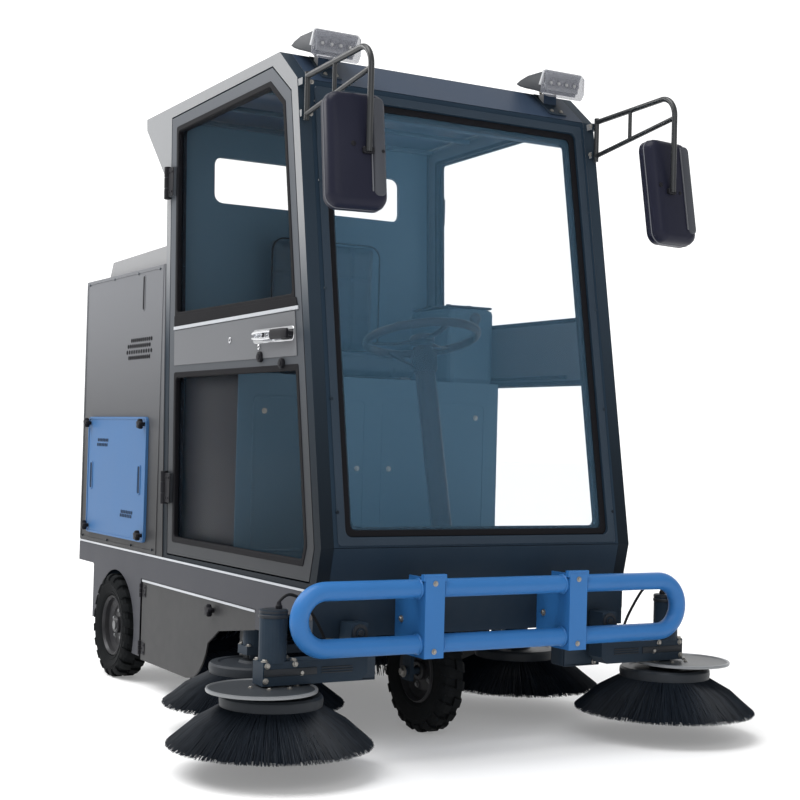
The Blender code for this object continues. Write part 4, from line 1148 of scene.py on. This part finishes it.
def screen_matrix(depth):
    """Plane of the windscreen: X across, Y up the slope from its foot, Z forwards."""
    columns = (Vector((1, 0, 0)), SCREEN_UP, SCREEN_OUT)
    return Matrix.Translation(FOLD + SCREEN_OUT * depth) @ Matrix(columns).transposed().to_4x4()


def make_windscreen():
    opening = rectangle(-0.455, 0.031, 0.455, 1.321)
    seal = bmesh.new()
    frame_slab(seal, screen_matrix(-0.0098), rounded(inset(opening, 0.0004), 0.020),
               rounded(inset(opening, 0.020), 0.016), 0.0050, 0.0018)
    frame_slab(seal, screen_matrix(-0.0330), rounded(inset(opening, 0.0004), 0.020),
               rounded(inset(opening, 0.030), 0.020), 0.0165, 0.0020)
    make("windscreen_seal", seal, "seal", "base")
    sill = bmesh.new()
    frame_slab(sill, screen_matrix(0.0002), rounded(inset(opening, -0.026), 0.010),
               rounded(inset(opening, -0.0015), 0.0205), 0.0040, 0.0018)
    make("windscreen_surround", sill, "dark_edge", "base")
    lining = bmesh.new()
    box_piece(lining, (-0.490, -0.640, 1.862), (0.490, -0.606, 1.930), 0.004)
    for y in (-0.58, -0.30, 0.0, 0.26):
        box_piece(lining, (-0.480, y - 0.012, 1.972), (0.480, y + 0.012, 1.988), 0.003)
    make("roof_lining", lining, "lining", "base")
    screws = bmesh.new()
    for side in (-1, 1):
        for up in (0.10, 0.42, 0.74, 1.06, 1.30):
            spot = FOLD + Vector((side * 0.4785, 0, 0)) + SCREEN_UP * up + SCREEN_OUT * 0.0040
            ring_piece(screws, facing(spot, SCREEN_OUT),
                       [(0, 0.0022), (0.0030, 0.0020), (0.0050, 0.0006), (0.0050, -0.004), (0, -0.004)], 18)
    make("windscreen_screws", screws, "silver", "base")


make_windscreen()


# ---------------------------------------------------------------- mirrors
MIRROR_X = 0.520
MIRROR_TUBE_Y = -1.090
MIRROR_POST_Y = -0.708
MIRROR_CENTRE_Z = 1.671
MIRROR_TILT = radians(9)
MIRROR_YAW = radians(8)
MIRROR_OFFSET = 0.025


def make_mirrors():
    for label, side in SIDES:
        arm = "mirror_arm_" + label
        x = side * MIRROR_X
        top, bend = 1.952, 0.060
        main = [(x, MIRROR_POST_Y, 1.938)]
        for step in range(17):
            angle = radians(90 + 90 * step / 16)
            main.append((x, MIRROR_TUBE_Y + bend + bend * cos(angle), top - bend + bend * sin(angle)))
        main.append((x, MIRROR_TUBE_Y, MIRROR_CENTRE_Z - 0.010))
        work = bmesh.new()
        pipe(work, main, 0.0085, 24)
        pipe(work, [(x, MIRROR_POST_Y, 1.828), (x, MIRROR_TUBE_Y, 1.886)], 0.0074, 20)
        pipe(work, [(x, MIRROR_POST_Y, 1.810), (x, MIRROR_POST_Y, 1.950)], 0.0080, 20)
        pipe(work, [(x, -0.878, 1.852), (x, -0.878, 1.944)], 0.0060, 18)
        make("mirror_bars_" + label, work, "arm", arm, 50, ("mirror_arm_" + label,))
        nuts = bmesh.new()
        for z in (1.832, 1.925):
            bolt(nuts, (x - side * 0.018, -0.6995, z), (0, -1, 0), 0.0046)
        make("mirror_nuts_" + label, nuts, "zinc", "base")
        make_mirror_head(label, side)


def make_mirror_head(label, side):
    """Moulded shell with a channel for the tube, a flank beside it in a paler copy of the shell plastic
    (painted light), and the glass behind.
    """
    body = "mirror_" + label
    ahead = Vector((side * sin(MIRROR_YAW), -cos(MIRROR_YAW), 0))
    across = Vector((cos(MIRROR_YAW), side * sin(MIRROR_YAW), 0))
    rise = Vector((0, 0, cos(MIRROR_TILT))) - ahead * sin(MIRROR_TILT)
    face = (Vector((side * MIRROR_X, MIRROR_TUBE_Y, MIRROR_CENTRE_Z)) - ahead * 0.0105
            + across * side * MIRROR_OFFSET)
    out = across.cross(rise)
    plane = Matrix.Translation(face) @ Matrix((across, rise, out)).transposed().to_4x4()
    half_width, half_height, depth = 0.085, 0.160, 0.060
    base = rectangle(-half_width, -half_height, half_width, half_height)
    groove = 0.020
    shell = bmesh.new()
    loops = []
    for level, shrink in ((-depth, 0.0030), (-depth + 0.004, 0.0), (-0.036, 0.0), (-0.022, 0.0010),
                          (-0.011, 0.0050), (-0.004, 0.0120), (-0.0010, 0.0200)):
        loops.append([plane @ Vector((u, v, level)) for u, v in
                      rounded(inset(base, shrink), max(0.012, 0.034 - shrink * 0.5), 8)])
    loft(shell, loops)
    make("mirror_shell_" + label, shell, "shell", body, 50,
         ("mirror_housing_" + label,))
    # flank strip in the paler shell plastic: painted light on this side of the groove
    flank = bmesh.new()
    left = groove + 0.020
    strip = rounded(rectangle(left, -half_height + 0.030, half_width - 0.010, half_height - 0.014), 0.016, 6)
    loops = []
    for level, shrink in ((-0.0100, -0.0030), (0.0010, 0.0020), (0.0034, 0.0060)):
        loops.append([plane @ Vector((u, v, level)) for u, v in inset(strip, shrink)])
    loft(flank, loops)
    make("mirror_flank_" + label, flank, "shell_back", body)
    trim = bmesh.new()
    frame_slab(trim, plane @ Matrix.Translation((0, 0, -0.0385)), rounded(inset(base, -0.0012), 0.035, 8),
               rounded(inset(base, 0.0006), 0.034, 8), 0.0030, 0.0010)
    u = groove + 0.017
    slab(trim, plane @ Matrix.Translation((0, 0, -0.002)), rectangle(u - 0.0016, -0.118, u + 0.0016, 0.140),
         0.0050, 0.0008)
    make("mirror_edge_" + label, trim, "shell_edge", body)
    back = bmesh.new()
    slab(back, plane @ Matrix.Translation((0, 0, -depth - 0.0012)), rounded(inset(base, 0.010), 0.026, 8),
         0.0016, 0.0004)
    make("mirror_glass_" + label, back, "mirror", body)
    clamp = bmesh.new()
    tube_u = -side * MIRROR_OFFSET
    slab(clamp, plane @ Matrix.Translation((0, 0, -0.0020)),
         rounded(rectangle(tube_u - 0.016, -0.016, tube_u + 0.016, 0.002), 0.005), 0.0120, 0.002)
    for at_u, at_v, radius in ((tube_u - 0.040, 0.010, 0.0070), (tube_u + 0.043, -0.006, 0.0050)):
        cap = plane @ Matrix.Translation((at_u, at_v, 0.0024 if at_u > left else -0.0012))
        ring_piece(clamp, cap, [(0, 0.0042), (radius * 0.5, 0.0040), (radius, 0.0018), (radius, 0),
                                (0, 0)], 24)
    make("mirror_clamp_" + label, clamp, "black", body)


make_mirrors()


# ---------------------------------------------------------------- work lamps
def make_lamps():
    tail = [(-0.5010, 2.0770), (-0.5200, 2.0660), (-0.5550, 2.0530), (-0.6000, 2.0390),
            (-0.6440, 2.0240), (-0.6560, 2.0900), (-0.5700, 2.0925), (-0.5280, 2.0860)]
    band = [(-0.6360, 2.0480), (-0.6470, 2.0460), (-0.6720, 2.0915), (-0.6600, 2.0925)]
    lens = [(-0.6460, 2.0200), (-0.6730, 2.0060), (-0.6900, 2.0270), (-0.6900, 2.0760),
            (-0.6780, 2.0890), (-0.6720, 2.0900), (-0.6480, 2.0470)]
    for label, _ in SIDES:
        low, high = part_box("work_lamp_" + label)
        body = "lamp_" + label
        x = (low.x + high.x) / 2
        for outline, half, key, name, slot, hides in (
                (tail, 0.071, "lamp_body", "lamp_tail_", "dark_paint", ("work_lamp_" + label,)),
                (band, 0.0735, "white_band", "lamp_band_", "lamp_clear", ()),
                (lens, 0.0770, "clear", "lamp_lens_", "lamp_clear", ())):
            work = bmesh.new()
            loops = []
            soft = 0.012 if key == "clear" else 0.006
            for level, shrink in ((-half, soft), (-half + soft * 0.3, soft * 0.3), (-half + soft, 0.0),
                                  (half - soft, 0.0), (half - soft * 0.3, soft * 0.3), (half, soft)):
                loops.append([Vector((x + level, y, z)) for y, z in
                              inset(outline, shrink * (0.3 if key == "white_band" else 1.0))])
            loft(work, loops)
            make(name + label, work, key, body, 40, hides)
        tray = bmesh.new()
        box_piece(tray, (x - 0.064, -0.6640, 2.0300), (x + 0.064, -0.6580, 2.0740), 0.002)
        make("lamp_tray_" + label, tray, "lamp_tray", body)
        cups = bmesh.new()
        chips = bmesh.new()
        for across in (-0.046, -0.0155, 0.0150, 0.0455):
            spot = Vector((x + across, -0.6660, 2.0520))
            ring_piece(cups, facing(spot, (0, -1, 0.10)),
                       [(0.0035, 0.0006), (0.0080, 0.0040), (0.0122, 0.0110), (0.0132, 0.0110),
                        (0.0090, 0.0030), (0.0045, -0.0004)], 32, closed=True)
            ring_piece(chips, facing(spot, (0, -1, 0.10)),
                       [(0, 0.0070), (0.0040, 0.0062), (0.0062, 0.0030), (0.0062, 0), (0, 0)], 20)
        make("lamp_cups_" + label, cups, "lamp_cup", body)
        make("lamp_chips_" + label, chips, "led", body)
        foot = bmesh.new()
        for edge in (-1, 1):
            bolt(foot, (x + edge * 0.0265, -0.586, 2.040), (edge, 0, 0), 0.0060)
        make("lamp_bolts_" + label, foot, "zinc", body)
        bracket = bmesh.new()
        slope = Vector((0, 0.125, 0.101)).normalized()
        normal = Vector((1, 0, 0)).cross(slope)
        spot = Matrix((Vector((1, 0, 0)), slope, normal)).transposed().to_4x4()
        at = Matrix.Translation((x, -0.6060, 1.9904 + 0.0008)) @ spot
        slab(bracket, at, rounded(rectangle(-0.034, -0.055, 0.034, 0.074), 0.006), 0.0040, 0.0010)
        make("lamp_bracket_" + label, bracket, "dark_edge", "base")
        pins = bmesh.new()
        for across in (-0.018, 0.018):
            bolt(pins, at @ Vector((across, -0.036, 0.0040)), normal, 0.0052)
        make("lamp_bracket_bolts_" + label, pins, "zinc", "base")


make_lamps()


# ---------------------------------------------------------------- guard discs and hangers
def make_guards():
    for label, side in SIDES:
        low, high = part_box("brush_guard_" + label)
        centre = (low + high) / 2
        radius = (high.x - low.x) / 2
        body = "front_arm_" + label
        work = bmesh.new()
        at = Matrix.Translation((centre.x, centre.y, 0))
        ring_piece(work, at, [(radius - 0.0060, high.z), (radius - 0.0030, high.z + 0.0032),
                              (radius + 0.0012, high.z + 0.0022), (radius + 0.0022, high.z - 0.0020),
                              (radius + 0.0012, low.z), (radius - 0.0040, low.z - 0.0004),
                              (radius - 0.0060, low.z)], 72, closed=True)
        make("guard_rim_" + label, work, "guard_rim", body)
        work = bmesh.new()
        hub = Vector((side * FRONT_HUB[0], FRONT_HUB[1], high.z))
        for turn in (200, 250, 300, 350):
            angle = radians(turn)
            spot = hub + Vector((side * 0.068 * cos(angle), 0.068 * sin(angle), 0.0002))
            bolt(work, spot, (0, 0, 1), 0.0050, turn)
        make("guard_bolts_" + label, work, "zinc", body)
        hanger = bmesh.new()
        x0, x1 = sorted((side * 0.330, side * 0.462))
        box_piece(hanger, (x0, -0.858, 0.222), (x1, -0.848, 0.396), 0.002)
        box_piece(hanger, (x0, -0.858, 0.220), (x1, -0.790, 0.228), 0.002)
        for edge in (x0, x1):
            box_piece(hanger, (edge - 0.0025, -0.850, 0.224), (edge + 0.0025, -0.790, 0.394), 0.001)
        make("nose_hanger_" + label, hanger, "dark_edge", "base")
        pins = bmesh.new()
        for x, z, size in ((0.436, 0.262, 0.0090), (0.452, 0.246, 0.0060), (0.441, 0.230, 0.0060)):
            bolt(pins, (side * x, -0.8582, z), (0, -1, 0), size)
        make("hanger_bolts_" + label, pins, "zinc", "base")


make_guards()


# ---------------------------------------------------------------- running gear
def make_running_gear():
    work = bmesh.new()
    for _, side in SIDES:
        bolt(work, (side * 0.0742, -0.579, 0.188), (side, 0, 0), 0.0125)
        for y in (-0.605, -0.553):
            bolt(work, (side * 0.0642, y, 0.384), (side, 0, 0), 0.0065)
    make("fork_nuts", work, "zinc", "fork")
    work = bmesh.new()
    for y in (-0.617, -0.541):
        box_piece(work, (-0.0640, y - 0.0030, 0.380), (0.0640, y + 0.0030, 0.3978), 0.0010)
    ring_piece(work, Matrix.Translation((0, -0.579, 0)),
               [(0.0345, 0.4122), (0.056, 0.4122), (0.060, 0.4150), (0.060, 0.4195), (0.0345, 0.4195)], 48,
               closed=True)
    make("fork_ribs", work, "dark", "fork")
    work = bmesh.new()
    for _, side in SIDES:
        for y in (0.720, 0.775):
            bolt(work, (side * 0.3422, y, 0.400), (side, 0, 0), 0.0065)
            bolt(work, (side * 0.300, y, 0.2182), (0, 0, 1), 0.0065)
        ring_piece(work, facing((side * 0.4302, 0.7475, 0.188), (side, 0, 0)),
                   [(0.0165, 0), (0.027, 0), (0.027, 0.012), (0.0165, 0.014)], 32, closed=True)
    make("axle_bolts", work, "zinc", "base")


make_running_gear()


# ---------------------------------------------------------------- body back and cover
def make_back():
    """Louvres drawn as dark slabs (painted shade in the openings), latch and hinge of the rear hatch, seams
    of the raised cover.
    """
    low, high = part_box("rear_hatch")
    face = high.y
    backward = Matrix(((-1, 0, 0), (0, 0, 1), (0, 1, 0))).transposed().to_4x4()
    plane = Matrix.Translation((0, face, 0)) @ backward
    rim = bmesh.new()
    outline = rectangle(-0.446, low.z + 0.004, 0.446, high.z - 0.004)
    frame_slab(rim, plane, rounded(outline, 0.018), rounded(inset(outline, 0.010), 0.012), 0.0022, 0.0008)
    frame_slab(rim, plane, rounded(rectangle(-0.250, 0.640, 0.250, 0.900), 0.020),
               rounded(rectangle(-0.240, 0.650, 0.240, 0.890), 0.014), 0.0022, 0.0008)
    make("hatch_rim", rim, "panel", "hatch")
    # dark slabs for the louvres: painted shade in the openings
    slots = bmesh.new()
    for row in range(7):
        z = 0.675 + row * 0.032
        for column in (-1, 1):
            slab(slots, plane, rounded(rectangle(column * 0.118 - 0.100, z,
                                                 column * 0.118 + 0.100, z + 0.012), 0.0055),
                 0.0012, 0.0004)
    make("hatch_louvres", slots, "slot_blue", "hatch")
    latch = bmesh.new()
    slab(latch, plane, rounded(rectangle(0.372, 1.020, 0.408, 1.120), 0.010), 0.0040, 0.0014)
    grip = smooth_line([(-0.390, face + out, z) for out, z in (
        (0.002, 1.110), (0.020, 1.102), (0.024, 1.070), (0.020, 1.038), (0.002, 1.030))], 6)
    pipe(latch, grip, 0.0050, 16)
    for x, z in ((-0.415, 0.595), (-0.415, 1.365)):
        star_knob(latch, (x, face, z), (0, 1, 0), 0.0165)
    make("hatch_latch", latch, "black", "hatch")
    hinges = bmesh.new()
    barrels = bmesh.new()
    for z in (0.700, 1.240):
        box_piece(hinges, (0.400, face + 0.0002, z - 0.045), (0.446, face + 0.0032, z + 0.045), 0.001)
        for part in range(3):
            base = z - 0.045 + part * 0.031
            ring_piece(barrels, Matrix.Translation((0.4555, face + 0.0035, base)),
                       [(0, 0), (0.0054, 0.0004), (0.0060, 0.0014), (0.0060, 0.0262), (0.0054, 0.0276),
                        (0, 0.0280)], 20)
        for spot in (z - 0.030, z + 0.030):
            ring_piece(hinges, facing((0.422, face + 0.0030, spot), (0, 1, 0)),
                       [(0, 0.0026), (0.0030, 0.0022), (0.0046, 0.0004), (0.0046, 0), (0, 0)], 16)
    make("hatch_hinges", hinges, "black", "hatch")
    make("hatch_barrels", barrels, "black", "base")
    low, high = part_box("rear_cover")
    seams = bmesh.new()
    for x in (-0.360, 0.360):
        pipe(seams, [(x, 0.420, high.z - 0.0035), (x, 0.900, high.z - 0.0035)], 0.0060, 12)
    make("cover_beads", seams, "grey", "rear_lid")
    handle = bmesh.new()
    y = 0.700
    bow = [(x, y, high.z + rise) for x, rise in (
        (-0.060, -0.002), (-0.056, 0.026), (0, 0.032), (0.056, 0.026), (0.060, -0.002))]
    pipe(handle, smooth_line(bow, 6), 0.0055, 16)
    for x in (-0.060, 0.060):
        ring_piece(handle, Matrix.Translation((x, y, high.z - 0.0010)),
                   [(0, 0.0034), (0.0090, 0.0030), (0.0110, 0.0008), (0.0110, 0), (0, 0)], 24)
    make("cover_handle", handle, "black", "rear_lid")


make_back()


# ---------------------------------------------------------------- driver's place
def padded_form(name, low, high, body, node, channels, crown):
    """Vinyl cushion: a rounded slab blown up as cloth, then pressed into sewn channels."""
    size = [b - a for a, b in zip(low, high)]
    middle = [(a + b) / 2 for a, b in zip(low, high)]
    work = bmesh.new()
    box_piece(work, [m - s / 2 for m, s in zip(middle, size)], [m + s / 2 for m, s in zip(middle, size)],
              min(size) * 0.30)
    mesh = bpy.data.meshes.new(name)
    work.to_mesh(mesh)
    work.free()
    pad = bpy.data.objects.new(name, mesh)
    bpy.context.scene.collection.objects.link(pad)
    bpy.context.view_layer.objects.active = pad
    shape = pad.modifiers.new("shape", "REMESH")
    shape.mode = "VOXEL"
    shape.voxel_size = 0.007
    apply_modifiers(pad)
    start = [vert.co.copy() for vert in pad.data.vertices]
    cloth = pad.modifiers.new("cloth", "CLOTH")
    cloth.settings.use_pressure = True
    cloth.settings.uniform_pressure_force = 4
    cloth.settings.effector_weights.gravity = 0
    for number in range(1, 21):
        bpy.context.scene.frame_set(number)
    apply_modifiers(pad)
    for vert, origin in zip(pad.data.vertices, start):
        move = vert.co - origin
        if move.length > crown:
            vert.co = origin + move.normalized() * crown
    finer = pad.modifiers.new("finer", "SUBSURF")
    finer.levels = finer.render_levels = 1
    apply_modifiers(pad)
    thin = size.index(min(size))
    for vert in pad.data.vertices:
        press = 0.0
        for axis, places, depth in channels:
            for place in places:
                away = (vert.co[axis] - place) / 0.006
                press += depth * 2.718 ** -(away * away)
        toward = middle[thin] - vert.co[thin]
        vert.co[thin] += press * (1 if toward > 0 else -1) * min(1.0, abs(toward) / 0.02)
        for axis in range(3):
            vert.co[axis] = max(low[axis] - crown, min(high[axis] + crown, vert.co[axis]))
    pad.data.shade_smooth()
    pad.data.materials.append(MAT["seat"])
    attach(pad, body)
    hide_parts(node)


def apply_modifiers(obj):
    """Replace an object's mesh by what its modifiers make of it."""
    depsgraph = bpy.context.evaluated_depsgraph_get()
    result = bpy.data.meshes.new_from_object(obj.evaluated_get(depsgraph))
    obj.modifiers.clear()
    obj.data = result


def make_seat():
    crown = 0.012
    low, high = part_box("seat_cushion")
    padded_form("cushion_seat", (low.x + crown, low.y + crown, 1.1215),
                (high.x - crown, high.y - crown, high.z - crown),
                "seat", "seat_cushion", ((0, (-0.110, 0.110), 0.006), (1, (-0.060, 0.045), 0.004)), crown)
    low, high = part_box("seat_backrest")
    padded_form("cushion_back", (low.x + crown, low.y + crown, low.z + crown),
                (high.x - crown, high.y - crown * 0.6, high.z - crown),
                "backrest", "seat_backrest", ((0, (-0.100, 0.100), 0.006), (2, (1.330, 1.470), 0.004)), crown)
    runner = bmesh.new()
    for x in (-0.150, 0.150):
        box_piece(runner, (x - 0.014, -0.150, 1.1012), (x + 0.014, 0.140, 1.1085), 0.0012)
    pipe(runner, [(0.150, -0.150, 1.104), (0.150, -0.186, 1.104), (0.110, -0.192, 1.106)], 0.0040, 12)
    make("seat_runners", runner, "steel", "seat")
    piping = bmesh.new()
    ring = rounded(rectangle(-0.213, 1.212, 0.213, 1.592), 0.045, 8)
    pipe(piping, [(u, 0.1592, v) for u, v in ring], 0.0030, 10, closed=True)
    make("back_piping", piping, "seal", "backrest")


def make_cab_inside():
    """Dark sheets on the seat box (painted shade), console top, switches, pedal ribs, steering wheel and
    column boot.
    """
    console = bmesh.new()
    box_piece(console, (0.306, -0.192, 1.3602), (0.474, 0.072, 1.3680), 0.003)
    for k in range(4):
        box_piece(console, (0.326 + k * 0.036, -0.030, 1.3680), (0.348 + k * 0.036, 0.002, 1.3770), 0.003)
    for x, y in ((0.345, -0.110), (0.430, -0.110), (0.345, 0.045), (0.388, 0.045), (0.430, 0.045)):
        ring_piece(console, Matrix.Translation((x, y, 1.3680)),
                   [(0, 0.0100), (0.0080, 0.0094), (0.0098, 0.0070), (0.0110, 0.0010), (0.0110, 0),
                    (0, 0)], 28)
    make("console_controls", console, "black", "base")
    # black sheets on the seat box's side and back: painted shade for its dark side beside the door glass
    shade_sheet = bmesh.new()
    box_piece(shade_sheet, (-0.493, -0.212, 0.500), (-0.4895, 0.232, 1.095), 0.001)
    box_piece(shade_sheet, (-0.480, 0.228, 0.500), (0.480, 0.2315, 1.080), 0.001)
    make("seat_box_shade_sheet", shade_sheet, "black", "base")
    front = bmesh.new()
    for x in (-0.235, 0.235):
        frame_slab(front, Matrix.Translation((x, -0.2152, 0.780))
                   @ Matrix(((1, 0, 0), (0, 0, 1), (0, -1, 0))).transposed().to_4x4(),
                   rounded(rectangle(-0.205, -0.250, 0.205, 0.250), 0.020),
                   rounded(rectangle(-0.197, -0.242, 0.197, 0.242), 0.014), 0.0016, 0.0006)
    make("seat_box_doors", front, "inside", "base")
    studs = bmesh.new()
    for x, z in ((-0.06, 0.80), (0.06, 0.80), (-0.40, 0.98), (0.40, 0.98)):
        bolt(studs, (x, -0.2153, z), (0, -1, 0), 0.0065)
    make("seat_box_studs", studs, "zinc", "base")
    mat = bmesh.new()
    box_piece(mat, (-0.470, -0.780, 0.4758), (0.470, -0.225, 0.4800), 0.0015)
    for k in range(17):
        y = -0.520 + k * 0.017
        box_piece(mat, (-0.440, y, 0.4798), (0.440, y + 0.007, 0.4822), 0.0008)
    make("floor_mat", mat, "mat", "base")
    pedal = bmesh.new()
    low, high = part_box("drive_pedal")
    for k in range(7):
        share = 0.18 + 0.11 * k
        spot = Vector((-0.150, low.y + (high.y - low.y) * (1 - share), low.z + (high.z - low.z) * share))
        pipe(pedal, [spot + Vector((-0.034, 0.0, 0.004)), spot + Vector((0.034, 0.0, 0.004))], 0.0030, 10)
    make("pedal_ribs", pedal, "seal", "pedal")
    make_steering_wheel()


STEERING_HUB = Vector((0, -0.51267, 1.21909))
STEERING_AXIS = (0, 0.244292, 0.969702)
GRIP_RADIUS = 0.175


def make_steering_wheel():
    axis = facing(STEERING_HUB, STEERING_AXIS)
    work = bmesh.new()
    count = 64
    rim = []
    for k in range(count):
        angle = 2 * pi * k / count
        rim.append(axis @ Vector((GRIP_RADIUS * cos(angle), GRIP_RADIUS * sin(angle), 0)))
    pipe(work, rim, 0.0138, 20, closed=True)
    for turn in (90, 210, 330):
        angle = radians(turn)
        line = []
        for reach, drop in ((0.030, -0.006), (0.075, -0.010), (0.125, -0.006), (0.168, 0.0)):
            line.append(axis @ Vector((reach * cos(angle), reach * sin(angle), drop)))
        smooth = smooth_line(line, 5)
        across = Vector((-sin(angle), cos(angle), 0))
        across = (axis.to_3x3() @ across).normalized()
        up = (axis.to_3x3() @ Vector((0, 0, 1))).normalized()
        loops = []
        for i, point in enumerate(smooth):
            wide = 0.0150 - 0.0045 * i / len(smooth)
            loops.append([point + across * wide * cos(2 * pi * k / 12) + up * 0.0045 * sin(2 * pi * k / 12)
                          for k in range(12)])
        loft(work, loops)
    ring_piece(work, axis, [(0, 0.0140), (0.020, 0.0130), (0.036, 0.0080), (0.042, -0.0020), (0.040, -0.0120),
                            (0.030, -0.0160), (0, -0.0160)], 48)
    make("wheel_grip", work, "black", "wheel_rim", 50, ("steering_wheel",))
    knob = bmesh.new()
    spot = axis @ Vector((-GRIP_RADIUS * cos(radians(40)), GRIP_RADIUS * sin(radians(40)), 0.012))
    ring_piece(knob, facing(spot, STEERING_AXIS),
               [(0, 0.0460), (0.0120, 0.0430), (0.0190, 0.0310), (0.0170, 0.0180), (0.0090, 0.0100),
                (0.0080, 0), (0, 0)], 32)
    ring_piece(knob, axis, [(0, 0.0165), (0.0120, 0.0162), (0.0190, 0.0140), (0.0200, 0.0110),
                            (0, 0.0110)], 32)
    make("wheel_knob", knob, "motor", "wheel_rim")
    boot = bmesh.new()
    foot = Vector((0, -0.700, 0.4758))
    lean = Vector((0, 0.180, 0.7145)).normalized()
    base = facing(foot + lean * 0.004, lean)
    profile = []
    for k in range(7):
        profile += [(0.064 - 0.0042 * k, 0.016 * k), (0.058 - 0.0042 * k, 0.016 * k + 0.008)]
    ring_piece(boot, base, [(0, 0)] + profile + [(0.030, 0.116), (0, 0.116)], 40)
    top = facing(foot + lean * 0.655, lean)
    ring_piece(boot, top, [(0, 0), (0.034, 0), (0.040, 0.010), (0.042, 0.058), (0.034, 0.072),
                           (0, 0.072)], 40)
    pipe(boot, [(-0.036, -0.538, 1.128), (-0.085, -0.540, 1.146), (-0.135, -0.545, 1.166)], 0.0048, 12)
    make("column_covers", boot, "seal", "base")


make_seat()
make_cab_inside()


make_camera()
make_studio()
